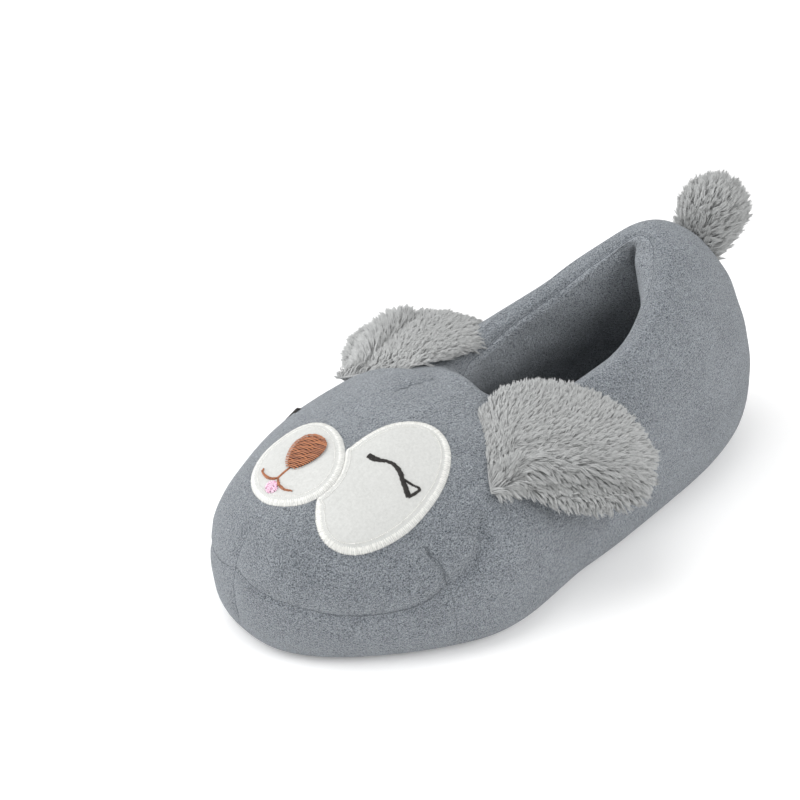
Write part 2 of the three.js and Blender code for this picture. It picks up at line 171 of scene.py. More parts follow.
def outward(curve, share):
    """Outward direction of a plan curve; straight along X on the centre line."""
    share = np.asarray(share, float)
    along = curve(np.minimum(share + DIRECTION_STEP, 1)) - curve(np.maximum(share - DIRECTION_STEP, 0))
    out = quarter_turn(unit(along))
    out[share <= 0] = (-1, 0)
    out[share >= 1] = (1, 0)
    return out


def place(plan, z, side):
    """A place on the slipper; side is 1 on the outer half and -1 on the inner half."""
    x = plan[..., 0]
    swing = -TOE_SWING * smooth((x / LENGTH + 0.5 - SWING_START) / SWING_RUN)
    return np.stack([x, plan[..., 1] * side + swing, np.broadcast_to(z, x.shape)], -1)


def half_kept(plan):
    """The inside of the collar meets itself in a crease on the centre line, and doesn't cross it."""
    return np.stack([plan[..., 0], np.maximum(plan[..., 1], 0)], -1)


class Line:
    """The widest line and the collar crest at shares from heel to toe."""

    def __init__(self, share):
        self.share = np.asarray(share, float)
        self.plan = outline_at(self.share)
        self.out = outward(outline_at, self.share)
        self.low = HEEL_HEIGHT * read(SECTIONS, "belly", self.plan[..., 0] / LENGTH + 0.5)
        reach = read(REACH, "collar", self.share)
        self.crest = collar_at(reach)
        self.crest_out = outward(collar_at, reach)
        self.high = HEEL_HEIGHT * read(COLLAR, "height", reach)
        self.throat = np.clip((reach - THROAT_START) / THROAT_RUN, 0, 1)
        self.power = read(FULLNESS, "power", self.share)

    def wall(self, depth, side):
        """Outer wall from the crest at depth 0 to the widest line at depth 1."""
        angle = np.asarray(depth, float) * math.pi / 2
        out = np.sin(angle) ** (2 / self.power)
        rise = np.maximum(np.cos(angle), 0) ** (2 / self.power)
        plan = blend(self.crest, self.plan, out[..., None])
        return place(plan, blend(self.low, self.high, rise), side)

    def roll(self, turn, side):
        """Soft edge that rolls in under the widest line."""
        angle = np.broadcast_to(np.asarray(turn, float) * math.pi / 2, self.share.shape)
        plan = self.plan - self.out * (SOLE_INSET * (1 - np.cos(angle)))[..., None]
        return place(plan, blend(self.low, PLUSH_LOW, np.sin(angle)), side)

    def inset(self, inset, z, side):
        """A line under the foot, set in from the widest line."""
        return place(self.plan - self.out * inset, z, side)

    def lip_plan(self, run):
        radius = blend(ROLL_RADIUS, THROAT_RADIUS, smooth(self.throat))
        angle = run * math.pi * read(LINING, "turn", self.throat)
        plan = self.crest - self.crest_out * (radius * np.sin(angle))[..., None]
        return half_kept(plan), self.high - radius * (1 - np.cos(angle))

    def lip(self, run, side):
        """Rolled lip, from the crest at run 0 over to the lining at run 1."""
        plan, z = self.lip_plan(run)
        return place(plan, z, side)

    def lining(self, run, side):
        """Lining, from the lip at run 0 down to the insole at run 1."""
        start, z = self.lip_plan(1)
        foot = self.plan - self.out * (SOLE_INSET + HEM_WIDTH)
        low = SOLE_THICK + INSOLE_THICK + 3 * GAP
        drop = z - low
        weights = [(1 - run) ** 3, 3 * run * (1 - run) ** 2, 3 * run * run * (1 - run), run ** 3]
        heel = 1 - smooth(self.share / HEEL_LINING_SHARE)
        outs = [0, blend(read(LINING, "out", self.throat), HEEL_LINING_OUT, heel), 1, 1]
        hang, stand = read(LINING, "hang", self.throat), read(LINING, "stand", self.throat)
        heights = [z, z - hang * drop, low + stand * drop, low]
        out = sum(w * v for w, v in zip(weights, outs))
        height = sum(w * v for w, v in zip(weights, heights))
        return place(half_kept(blend(start, foot, out[..., None])), height, side)


HALF_SHARES = np.linspace(0, 1, HALF_COLUMNS + 1)
LINE = Line(HALF_SHARES)


def ring_of(point_at):
    """A ring right round: the outer half from heel to toe, then the inner half back."""
    outer, inner = point_at(1), point_at(-1)
    return np.concatenate([outer, inner[-2:0:-1]])


def wall_point(share, depth, side=1):
    """A place on the outer cloth; depths past 1 go round the soft edge."""
    line = Line(np.array(share))
    depth = np.array(depth, float)
    over = (depth > 1)[..., None]
    return np.where(over, line.roll(np.maximum(depth - 1, 0), side), line.wall(np.minimum(depth, 1), side))


# Meshes from numbers
NO_TRIS = np.zeros((0, 3), int)


def mesh_object(name, points, quads=None, tris=None, normals=None, values=None):
    """A smooth mesh object from points in millimetres, with float values on its points."""
    mesh = bpy.data.meshes.new(name)
    groups = []
    for faces, corners in ((quads, 4), (tris, 3)):
        if faces is not None and len(faces):
            groups.append(np.asarray(faces, np.int32).reshape(-1, corners))
    mesh.vertices.add(len(points))
    mesh.vertices.foreach_set("co", (np.asarray(points, np.float32) * MM).ravel())
    sizes = np.concatenate([np.full(len(f), f.shape[1], np.int32) for f in groups])
    mesh.loops.add(int(sizes.sum()))
    mesh.loops.foreach_set("vertex_index", np.concatenate([f.ravel() for f in groups]))
    mesh.polygons.add(len(sizes))
    mesh.polygons.foreach_set("loop_start", np.r_[0, np.cumsum(sizes)[:-1]].astype(np.int32))
    mesh.polygons.foreach_set("use_smooth", np.ones(len(sizes), bool))
    for key, value in (values or {}).items():
        attribute = mesh.attributes.new(key, "FLOAT", "POINT")
        attribute.data.foreach_set("value", np.asarray(value, np.float32))
    mesh.update(calc_edges=True)
    mesh.validate()
    if normals is not None:
        mesh.normals_split_custom_set_from_vertices(unit(normals).tolist())
    piece = bpy.data.objects.new(name, mesh)
    bpy.context.scene.collection.objects.link(piece)
    return piece


def grid_quads(rows, columns, wrap_rows=False, wrap_columns=True, start=0):
    r = np.arange(rows if wrap_rows else rows - 1)
    c = np.arange(columns if wrap_columns else columns - 1)
    r, c = np.meshgrid(r, c, indexing="ij")
    r, c = r.ravel(), c.ravel()
    down, over = (r + 1) % rows, (c + 1) % columns
    quads = np.stack([r * columns + c, r * columns + over, down * columns + over, down * columns + c], -1)
    return quads + start


def grid_normals(points, wrap_rows, wrap_columns=True):
    """Normals of a grid of points, by the cross of its two directions."""
    def slope(axis, wrap):
        if wrap:
            return np.roll(points, -1, axis) - np.roll(points, 1, axis)
        return np.gradient(points, axis=axis)
    return unit(np.cross(slope(1, wrap_columns), slope(0, wrap_rows)))


def facing_out(points, normals):
    """Whether a grid's normals point away from its middle."""
    return np.einsum("ijk,ijk->ij", normals, points - points.mean((0, 1))).mean() >= 0


def outwards(points, quads, tris=NO_TRIS):
    """The faces of a closed mesh turned outwards, by the sign of its volume."""
    split = np.concatenate([quads[:, [0, 1, 2]], quads[:, [0, 2, 3]], tris])
    a, b, c = (points[split[:, i]] for i in range(3))
    if np.einsum("ij,ij->i", a, np.cross(b, c)).sum() < 0:
        return quads[:, ::-1], tris[:, ::-1]
    return quads, tris


LUMP_WAVES = 7
LUMP_SPREAD = (0.7, 1.5)
LUMP_PHASE = 6.28
LUMP_EASE = 1.4


def lumps(points, wavelength, seed):
    """Gentle uneven stuffing between -1 and 1."""
    draw = np.random.default_rng(seed)
    total = np.zeros(points.shape[:-1])
    for _ in range(LUMP_WAVES):
        way = unit(draw.normal(size=3))
        length = wavelength * draw.uniform(*LUMP_SPREAD)
        total += np.sin(points @ way * 2 * math.pi / length + draw.uniform(0, LUMP_PHASE))
    return total / LUMP_WAVES ** 0.5 / LUMP_EASE


# Camera at the photograph's angle
CAMERA_TURN = math.radians(139.7)
CAMERA_RISE = math.radians(32.5)
CAMERA_REACH = 940
CAMERA_AIM = Vector((-26.2, -100.1, 0))
CAMERA_LENS = 87.96
CAMERA_FAR_M = 20


def add_camera():
    level = math.cos(CAMERA_RISE)
    back = Vector((math.sin(CAMERA_TURN) * level, -math.cos(CAMERA_TURN) * level, math.sin(CAMERA_RISE)))
    right = Vector((math.cos(CAMERA_TURN), math.sin(CAMERA_TURN), 0))
    up = back.cross(right)
    camera = bpy.data.objects.new("camera", bpy.data.cameras.new("camera"))
    bpy.context.scene.collection.objects.link(camera)
    turn = Matrix((right, up, back)).transposed()
    camera.matrix_world = Matrix.Translation((CAMERA_AIM + back * CAMERA_REACH) * MM) @ turn.to_4x4()
    camera.data.lens = CAMERA_LENS
    camera.data.clip_end = CAMERA_FAR_M
    bpy.context.scene.camera = camera


add_camera()


# Materials
class Value:
    """A shader socket; an expression on values adds its Math nodes."""

    def __init__(self, paint, socket):
        self.paint = paint
        self.socket = socket

    def math(self, operation, a, b):
        return self.paint.add("ShaderNodeMath", {"operation": operation}, {0: a, 1: b})

    def __add__(self, other):
        return self.math("ADD", self, other)

    def __radd__(self, other):
        return self.math("ADD", other, self)

    def __sub__(self, other):
        return self.math("SUBTRACT", self, other)

    def __rsub__(self, other):
        return self.math("SUBTRACT", other, self)

    def __mul__(self, other):
        return self.math("MULTIPLY", self, other)

    def __rmul__(self, other):
        return self.math("MULTIPLY", other, self)

    def __pow__(self, other):
        return self.math("POWER", self, other)


class Paint:
    """A material and its nodes."""

    def __init__(self, name):
        self.material = bpy.data.materials.new(name)
        self.material.use_nodes = True
        self.tree = self.material.node_tree
        self.tree.nodes.clear()
        self.place = self.add("ShaderNodeTexCoord", out="Object")

    def add(self, kind, settings=None, sockets=None, out=0):
        """One node: its settings are set first, then the values or links of its sockets."""
        node = self.tree.nodes.new(kind)
        for name, value in (settings or {}).items():
            setattr(node, name, value)
        for name, value in (sockets or {}).items():
            if isinstance(value, Value):
                self.tree.links.new(value.socket, node.inputs[name])
            else:
                node.inputs[name].default_value = value
        return Value(self, node.outputs[out])

    def mix(self, factor, a, b):
        colours = [c if isinstance(c, Value) else (*c, 1) for c in (a, b)]
        sockets = {0: factor, 6: colours[0], 7: colours[1]}
        return self.add("ShaderNodeMix", {"data_type": "RGBA"}, sockets, out=2)

    def noise(self, size, detail=2.0, stretch=(1, 1, 1), roughness=0.5, twist=0.0):
        """Noise from 0 to 1 whose grains are about size millimetres."""
        scaled = self.add("ShaderNodeVectorMath", {"operation": "MULTIPLY"}, {0: self.place, 1: stretch})
        sockets = {"Vector": scaled, "Scale": 1 / (size * MM), "Detail": detail}
        sockets.update({"Roughness": roughness, "Distortion": twist})
        return self.add("ShaderNodeTexNoise", None, sockets)

    def spread(self, value, low, high):
        """The value's range from low to high, stretched to 0 to 1."""
        sockets = {"Value": value, "From Min": low, "From Max": high}
        return self.add("ShaderNodeMapRange", {"clamp": True}, sockets)

    def attribute(self, name):
        return self.add("ShaderNodeAttribute", {"attribute_name": name}, out="Fac")

    def bump(self, height, distance, strength=1.0):
        """Distance in millimetres."""
        sockets = {"Height": height, "Distance": distance * MM, "Strength": strength}
        return self.add("ShaderNodeBump", None, sockets)

    def finish(self, colour, roughness, normal=None, **constants):
        base = colour if isinstance(colour, Value) else (*colour, 1)
        sockets = {"Base Color": base, "Roughness": roughness}
        if normal is not None:
            sockets["Normal"] = normal
        sockets.update({name.replace("_", " "): value for name, value in constants.items()})
        shader = self.add("ShaderNodeBsdfPrincipled", None, sockets)
        output = self.tree.nodes.new("ShaderNodeOutputMaterial")
        self.tree.links.new(shader.socket, output.inputs["Surface"])
        return self.material


# Grains of the cloths in millimetres
TUFT, NAP_STREAK, NAP_STRETCH, BRUSHED_PATCH = 0.54, 0.9, (0.45, 1.4, 1.7), 15
FUR_FIBRE = 0.7
FELT_FIBRE, FELT_CLOUD = 1.1, 6
THREAD_TWIST = 0.35
SOLE_DOT, SOLE_GRIME = 2.2, 14
# Colours of fur and felt; the fur's darker root colour is painted shade between the hairs
FUR_ROOT_SHADE, FUR_TIP = (0.35, 0.358, 0.36), (0.56, 0.57, 0.566)
FUR_DARK_LOCK, FUR_GLINT = (0.30, 0.305, 0.305), (0.66, 0.66, 0.65)
FELT_DARK, FELT_LIGHT, FELT_MIDDLE = (0.50, 0.505, 0.49), (0.59, 0.595, 0.58), (0.57, 0.575, 0.56)
PLUSH_SHEEN = (0.88, 0.91, 0.95, 1)


def plush_material(name, dark, light):
    """Short velour: fleck of separate tufts, streaks of nap and broad brushed patches."""
    paint = Paint(name)
    fleck = paint.spread(paint.noise(TUFT, 1, roughness=0.8), 0.36, 0.64)
    streak = paint.spread(paint.noise(NAP_STREAK, 1, NAP_STRETCH, 0.6, 1.0), 0.36, 0.64)
    cloud = paint.spread(paint.noise(BRUSHED_PATCH, 3), 0.32, 0.68)
    nap = fleck * 0.66 + streak * 0.24 + cloud * 0.10
    pile = fleck * 0.55 + streak * 0.6
    return paint.finish(
        paint.mix(nap, dark, light), 0.95, paint.bump(pile, 0.8, 0.9),
        Sheen_Weight=0.55, Sheen_Roughness=0.5, Sheen_Tint=PLUSH_SHEEN, Specular_IOR_Level=0.1,
    )


def fur_material():
    """Long pile: darker at the root as painted shade between the hairs, pale at the tip, each lock its own
    tone.
    """
    paint = Paint("fur_grey")
    colour = paint.mix(paint.attribute("rise") ** 0.8, FUR_ROOT_SHADE, FUR_TIP)
    colour = paint.mix(paint.attribute("tone") * 0.36, colour, FUR_DARK_LOCK)
    glint = paint.spread(paint.noise(FUR_FIBRE, 2), 0.4, 0.8) * 0.25
    return paint.finish(
        paint.mix(glint, colour, FUR_GLINT), 0.75,
        Sheen_Weight=0.2, Sheen_Roughness=0.5, Specular_IOR_Level=0.2,
    )


def felt_material():
    """Matted fibres with faint paler clouds."""
    paint = Paint("felt_white")
    fibre = paint.noise(FELT_FIBRE, 4, roughness=0.75)
    cloud = paint.noise(FELT_CLOUD, 2)
    tone = paint.mix(paint.spread(fibre, 0.35, 0.65), FELT_DARK, FELT_LIGHT)
    tone = paint.mix(paint.spread(cloud, 0.35, 0.65) * 0.3, tone, FELT_MIDDLE)
    return paint.finish(tone, 0.95, paint.bump(fibre, 0.3, 0.4), Sheen_Weight=0.2, Specular_IOR_Level=0.2)


def thread_material(name, dark, light, roughness=0.45, sheen=0.15):
    """Embroidery thread with a silky gloss; each stitch has its own tone."""
    paint = Paint(name)
    tone = paint.attribute("tone")
    twist = paint.noise(THREAD_TWIST, 2)
    colour = paint.mix(tone * 0.7 + paint.spread(twist, 0.3, 0.7) * 0.3, dark, light)
    return paint.finish(colour, roughness, paint.bump(twist, 0.08, 0.5), Sheen_Weight=sheen)


def sole_material():
    """Rubber with a fine grain of dots, worn a little uneven."""
    paint = Paint("sole_grip")
    cells = {"Vector": paint.place, "Scale": 1 / (SOLE_DOT * MM)}
    dots = paint.add("ShaderNodeTexVoronoi", {"feature": "F1"}, cells)
    grime = paint.spread(paint.noise(SOLE_GRIME, 4), 0.35, 0.7)
    tone = paint.mix(grime, (0.060, 0.065, 0.074), (0.085, 0.09, 0.10))
    return paint.finish(tone, 0.75, paint.bump(dots, 0.35, 0.5))


PLUSH = plush_material("body_plush", (0.020, 0.030, 0.041), (0.412, 0.444, 0.480))
# The lining's plush is the body's plush painted lighter: painted light for the inside, which gets little
# light
LIT_LINING_PLUSH = plush_material("lining_plush", (0.024, 0.035, 0.048), (0.525, 0.560, 0.600))
SEAM_SHADE = thread_material("seam_shade", (0.095, 0.108, 0.122), (0.14, 0.155, 0.172), 0.9)
FUR = fur_material()
FELT_WHITE = felt_material()
WHITE_THREAD = thread_material("white_thread", (0.62, 0.62, 0.59), (0.86, 0.86, 0.83))
NOSE_THREAD = thread_material("nose_thread", (0.20, 0.058, 0.02), (0.47, 0.17, 0.062), 0.4)
# Painted shade: a dark sheet under the nose threads, seen in the gaps between them
NOSE_GAP_SHADE = thread_material("nose_gap_shade", (0.035, 0.010, 0.005), (0.055, 0.016, 0.008), 0.8)
DARK_THREAD = thread_material("dark_thread", (0.006, 0.005, 0.004), (0.022, 0.018, 0.016), 0.6, 0.0)
# Each stitch's tone runs at random from pink to nearly white: the pink is the thread's own, the nearly
# white end is painted highlight
PINK_THREAD = thread_material("pink_thread", (0.72, 0.30, 0.50), (0.98, 0.84, 0.92))
SOLE_GRIP = sole_material()


def dress(piece, material, replaces=()):
    """Gives a piece its material and body."""
    piece.data.materials.append(material)
    if replaces:
        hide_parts(*replaces)
    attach(piece, "root")


# Seams of the outer cloth, as shares of outline and depth, outer half first
TOE_SEAM = [(1.0, 0.90), (0.97, 0.934), (0.94, 0.951), (0.906, 0.965), (0.854, 0.969), (0.816, 0.946),
            (0.76, 0.872), (0.7355, 0.80)]
TOE_DART = [(0.7355, 0.80), (0.75, 0.738), (0.760, 0.70), (0.771, 0.663)]
SIDE_DROP = [(0.7355, 0.80), (0.732, 0.845), (0.728, 0.917), (0.725, 0.975), (0.7245, 1.1), (0.7245, 1.4)]
SIDE_TAIL = [(0.7355, 0.80), (0.7105, 0.74), (0.7040, 0.718), (0.6985, 0.672), (0.6990, 0.62),
             (0.693, 0.565)]
FRONT_DROP = [(0.9955, 0.74), (0.9965, 0.80), (0.9975, 0.87), (0.998, 0.93), (0.998, 1.1), (0.998, 1.4)]
THROAT_SEAM = [(0.877, 0.033), (0.8805, 0.052), (0.8815, 0.077), (0.8905, 0.10), (0.892, 0.115),
               (0.90, 0.13)]
SEAM_SPACING = 0.8


def curve_through(points, spacing):
    """Evenly spaced points on a smooth curve through the given ones."""
    points = np.asarray(points, float)
    run = np.r_[0, np.cumsum(np.linalg.norm(np.diff(points, axis=0), axis=1))]
    count = max(int(run[-1] / spacing), 2)
    slopes = np.gradient(points, run, axis=0)
    at = np.linspace(0, run[-1], count + 1)
    i = np.clip(np.searchsorted(run, at) - 1, 0, len(run) - 2)
    step = run[i + 1] - run[i]
    t = (at - run[i]) / step
    return bend(points[i], points[i + 1], slopes[i], slopes[i + 1], step[:, None], t[:, None])


def seam(table, side, *sizes):
    """A seam's path and its sizes: trough depth and width, gathering of the cloth, width of its line."""
    share, depth = np.array(table).T
    return curve_through(wall_point(share, depth, side), SEAM_SPACING), *sizes


SEAMS = [seam(FRONT_DROP, -1, 1.2, 2.6, 0.4, 0.26), seam(THROAT_SEAM, -1, 2.2, 3.4, 1.4, 0.3)]
for side in (1, -1):
    SEAMS.append(seam(TOE_SEAM, side, 1.5, 2.6, 0.4, 0.3))
    SEAMS.append(seam(TOE_DART, side, 2.3, 2.4, 0.4, 0.46))
    SEAMS.append(seam(SIDE_DROP, side, 0.6, 2.6, 0.2, 0.16))
    SEAMS.append(seam(SIDE_TAIL, side, 2.4, 4.0, 0.3, 0))
# How far a trough is felt, its soft and sharp parts, and the waves of its gathers
TROUGH_REACH = 6
SOFT_WIDTH, SOFT_PART = 2.2, 0.45
SHARP_WIDTH, SHARP_PART = 0.55, 0.55
GATHER_WAVE = 6.5


def tree_of(points):
    tree = KDTree(len(points))
    for i, p in enumerate(points):
        tree.insert(p, i)
    tree.balance()
    return tree


def trough(points, path, depth, width, gather, seed):
    """How far a seam pulls the cloth in at each point."""
    tree = tree_of(path)
    low, high = path.min(0) - TROUGH_REACH * width, path.max(0) + TROUGH_REACH * width
    near = np.flatnonzero(np.all((points > low) & (points < high), axis=1))
    pull = np.zeros(len(points))
    draw = np.random.default_rng(seed)
    phase = np.cumsum(draw.uniform(0.5, 1.5, len(path))) * SEAM_SPACING * 2 * math.pi / GATHER_WAVE
    for k in near:
        _, i, d = tree.find(points[k])
        soft = math.exp(-(d / (width * SOFT_WIDTH)) ** 2)
        sharp = math.exp(-(d / (width * SHARP_WIDTH)) ** 2)
        folds = gather * math.sin(phase[i]) * soft * min(d / width, 1)
        pull[k] = depth * (SOFT_PART * soft + SHARP_PART * sharp) + 0.5 * folds
    return pull


# Upper: one padded shell of outer cloth, rolled lip and lining
def upper_grid():
    rows, kinds = [], []

    def add(kind, point_at, steps):
        for step in steps:
            rows.append(ring_of(lambda side: point_at(step, side)))
            kinds.append(kind)

    def hem(inset, side):
        return LINE.inset(inset, SOLE_THICK + GAP, side)

    add(WALL, LINE.wall, np.linspace(0, 1, WALL_ROWS + 1))
    add(ROLL, LINE.roll, np.linspace(0, 1, ROLL_ROWS + 1)[1:])
    add(HEM, hem, (SOLE_INSET, SOLE_INSET + HEM_WIDTH))
    add(INSIDE, LINE.lining, np.linspace(1, 0, LINING_ROWS + 1))
    add(LIP, LINE.lip, LIP_RUNS)
    return np.array(rows), np.array(kinds)


# Where the collar's seam lies on the lip
COLLAR_SEAM_RUN = 0.68
# The lining's sides press together behind the heel, and their crease lies a little to one side
CREASE_FRONT, FOLD_FRONT, HEEL_FADE = -58.0, -62.0, 10.0
CREASE_SHIFT, CREASE_REACH = 5.5, 9.5
CREASE_LOW, CREASE_RISE = 58.0, 36.0
CREASE_TOP = 101.0
FOLD_TOP, FOLD_LOW = 106.0, 42.0
FOLD_DEPTH, FOLD_WIDTH = 3.4, 1.5
SWELL_OUTER, SWELL_INNER, SWELL_PLACE, SWELL_WIDTH = 1.8, 0.5, 6.0, 4.0


def heel_shift(points, share):
    """Moves the crease behind the heel towards the inner side."""
    x, y, z = points[..., 0], points[..., 1], points[..., 2]
    near = np.exp(-(y / CREASE_REACH) ** 2) * smooth((CREASE_FRONT - x) / HEEL_FADE) * share
    shift = np.zeros_like(points)
    high = smooth((z - CREASE_LOW) / CREASE_RISE) * (1 - smooth((z - CREASE_TOP) / HEEL_FADE))
    shift[..., 1] = -CREASE_SHIFT * high * near
    return shift


def heel_fold(points):
    """A deep crease behind the heel, with a swelling on each side and the larger one outside."""
    x, y, z = points[..., 0], points[..., 1], points[..., 2]
    behind = smooth((FOLD_FRONT - x) / HEEL_FADE) * smooth((FOLD_TOP - z) / 8) * smooth((z - FOLD_LOW) / 14)
    swell = np.exp(-((np.abs(y) - SWELL_PLACE) / SWELL_WIDTH) ** 2)
    swell = np.where(y > 0, SWELL_OUTER, SWELL_INNER) * swell
    return behind * (swell - FOLD_DEPTH * np.exp(-(y / FOLD_WIDTH) ** 2))


# Uneven stuffing: wavelength, height and seed of each set of lumps
WALL_LUMPS = [(55, 0.55, 1), (19, 0.22, 2)]
LINING_LUMPS = [(34, 0.7, 4), (13, 0.3, 6)]
LIP_LUMPS = [(26, 0.35, 3)]
GROOVE_LUMPS = [(14, 0.15, 5)]
GROOVE_DEPTH, GROOVE_WIDTH = 0.55, 0.09
# Heights where the lumps and folds fade in, and how far they stay off the crease on the centre line
WALL_EVEN, WALL_FADE = 3, 14
LINING_EVEN, LINING_FADE = 18, 20
CREASE_EDGE, CREASE_FADE = 0.5, 6
LIP_SHIFT_START = 0.72


def stuffing(points, sets):
    return sum(height * lumps(points, wave, seed) for wave, height, seed in sets)


def shape_upper(points, kinds):
    """Troughs along the seams, uneven stuffing and creases in the lining."""
    normals = grid_normals(points, True)
    if not facing_out(points[kinds == WALL], normals[kinds == WALL]):
        normals = -normals
    push = np.zeros(points.shape[:2])
    outer = np.flatnonzero(kinds <= ROLL)
    block = points[outer].reshape(-1, 3)
    pull = np.zeros(len(block))
    for seed, (path, depth, width, gather, _) in enumerate(SEAMS):
        pull = np.maximum(pull, trough(block, path, depth, width, gather, 40 + seed))
    swell = stuffing(block, WALL_LUMPS) * smooth((block[:, 2] - WALL_EVEN) / WALL_FADE)
    push[outer] = (-pull + swell * np.exp(-pull)).reshape(len(outer), -1)
    lip = np.flatnonzero(kinds == LIP)
    groove = np.exp(-((LIP_RUNS - COLLAR_SEAM_RUN) / GROOVE_WIDTH) ** 2)
    push[lip] -= groove[:, None] * (GROOVE_DEPTH + stuffing(points[lip], GROOVE_LUMPS))
    push[lip] += stuffing(points[lip], LIP_LUMPS)
    lining = np.flatnonzero(kinds == INSIDE)
    inside = points[lining]
    fade = smooth((inside[..., 2] - LINING_EVEN) / LINING_FADE)
    free = smooth((np.abs(inside[..., 1]) - CREASE_EDGE) / CREASE_FADE)
    push[lining] += fade * free * stuffing(inside, LINING_LUMPS)
    for inner in (lining, lip):
        push[inner] += heel_fold(points[inner])
    shaped = points + normals * push[..., None]
    shaped[lining] += heel_shift(points[lining], 1.0)
    share = smooth((LIP_RUNS - LIP_SHIFT_START) / (1 - LIP_SHIFT_START))
    shaped[lip] += heel_shift(points[lip], share[:, None])
    return shaped


def build_upper():
    points, kinds = upper_grid()
    shaped = shape_upper(points, kinds)
    rows, columns = shaped.shape[:2]
    quads, _ = outwards(shaped.reshape(-1, 3), grid_quads(rows, columns, wrap_rows=True))
    piece = mesh_object("upper_plush", shaped.reshape(-1, 3), quads)
    dress(piece, PLUSH, replaces=("upper",))
    # The lining and the lip past its seam get the lighter plush, painted light for the dim inside
    piece.data.materials.append(LIT_LINING_PLUSH)
    inner = kinds == INSIDE
    inner[np.flatnonzero(kinds == LIP)[LIP_RUNS > COLLAR_SEAM_RUN]] = True
    piece.data.polygons.foreach_set("material_index", np.repeat(inner, columns).astype(np.int32))
    return shaped, kinds, quads


BODY, BODY_KINDS, BODY_QUADS = build_upper()
BODY_TREE = BVHTree.FromPolygons(BODY.reshape(-1, 3).tolist(), BODY_QUADS.tolist())


# Places on the face: millimetres down and left from its middle, cast onto the cloth
FACE_DEPTH = 0.42
FACE_SHIFT = np.array([0, -2.6, 0])
FACE_OUT = (0.42, 0.16, 0.89)
CAST_FROM = 60.0


class Face:
    """A plane over the cloth; places on it are cast straight back onto the cloth."""

    def __init__(self, point, out):
        self.point = point
        self.out = unit(np.array(out))
        self.down = unit(np.array([1, 0, 0]) - self.out * self.out[0])
        self.left = np.cross(self.out, self.down)

    def cast(self, flat, lift):
        """Points of the cloth under places on the plane, raised along the cloth's normal."""
        flat = np.asarray(flat, float).reshape(-1, 2)
        starts = self.point + self.out * CAST_FROM + flat[:, :1] * self.down + flat[:, 1:] * self.left
        way = Vector(-self.out)
        spots, normals = np.zeros_like(starts), np.zeros_like(starts)
        for i, start in enumerate(starts):
            spot, normal, _, _ = BODY_TREE.ray_cast(Vector(start), way)
            if spot is None:
                spot, normal, _, _ = BODY_TREE.find_nearest(Vector(start - self.out * CAST_FROM))
            spots[i], normals[i] = spot, normal
        return spots + normals * np.reshape(lift, (-1, 1)), normals


FRONT = Face(wall_point(1.0, FACE_DEPTH) + FACE_SHIFT, FACE_OUT)


# Patches: egg outlines, the muzzle whole and the eye cut along it
MUZZLE = {"length": 43.0, "width": 39.4, "down": 4.5, "left": -2.0, "turn": 0.6, "blunt": 0.12}
EYE = {"length": 66.4, "width": 39.4, "down": -12.3, "left": 29.3, "turn": 0.19, "blunt": -0.07}
NOSE = {"length": 18.8, "width": 14.2, "down": 0.3, "left": -2.2, "turn": 0.14, "blunt": -0.30}
OUTLINE_POINTS = 240
OUTLINE_STEP = 0.5


def egg(form, inset=0.0):
    """Egg outline on the face; blunt is how much wider its end towards the toe is."""
    angle = np.linspace(0, 2 * math.pi, OUTLINE_POINTS, endpoint=False)
    along = (form["length"] / 2 - inset) * np.cos(angle)
    across = (form["width"] / 2 - inset) * np.sin(angle) * (1 + form["blunt"] * np.cos(angle))
    c, s = math.cos(form["turn"]), math.sin(form["turn"])
    return np.stack([form["down"] + along * c - across * s, form["left"] + along * s + across * c], -1)


def middle_of(form):
    return np.array([form["down"], form["left"]])


def muzzle_reach(away):
    """How far the muzzle's edge lies from its middle, in the directions of the vectors away."""
    edge = egg(MUZZLE) - middle_of(MUZZLE)
    angle = np.arctan2(edge[:, 1], edge[:, 0])
    order = np.argsort(angle)
    reach = np.linalg.norm(edge, axis=1)[order]
    return np.interp(np.arctan2(away[:, 1], away[:, 0]), angle[order], reach, period=2 * math.pi)


def closed_even(outline, spacing):
    """The closed outline again with even steps."""
    loop = np.vstack([outline, outline[:1]])
    run = np.r_[0, np.cumsum(np.linalg.norm(np.diff(loop, axis=0), axis=1))]
    at = np.linspace(0, run[-1], max(int(run[-1] / spacing), 8), endpoint=False)
    return np.stack([np.interp(at, run, loop[:, 0]), np.interp(at, run, loop[:, 1])], -1)


def eye_outline():
    """The eye's egg, pushed back to the muzzle's edge where the muzzle covers it."""
    outline = closed_even(egg(EYE), OUTLINE_STEP)
    away = outline - middle_of(MUZZLE)
    distance = np.linalg.norm(away, axis=1)
    away = away * (np.maximum(muzzle_reach(away), distance) / distance)[:, None]
    return closed_even(middle_of(MUZZLE) + away, OUTLINE_STEP)


def into_loop(loop, span=1):
    """Directions along a closed loop, each over a few steps, and into it."""
    along = unit(np.roll(loop, -span, 0) - np.roll(loop, span, 0))
    into = quarter_turn(along)
    if np.einsum("ij,ij->i", into, loop - loop.mean(0)).mean() > 0:
        into = -into
    return along, into


def inset_loop(outline, inset, rounds=6):
    """A closed outline moved inwards, with its corners eased."""
    spacing = np.linalg.norm(np.diff(outline, axis=0), axis=1).mean()
    loop = outline
    for _ in range(rounds):
        loop = loop + into_loop(loop, 2)[1] * inset / rounds
        loop = (np.roll(loop, 1, 0) + 2 * loop + np.roll(loop, -1, 0)) / 4
        loop = closed_even(loop, spacing)
    return loop


FELT_RINGS = 26
FELT_LIFT, FELT_SINK = 0.1, 0.35
EDGE_POWER = 14


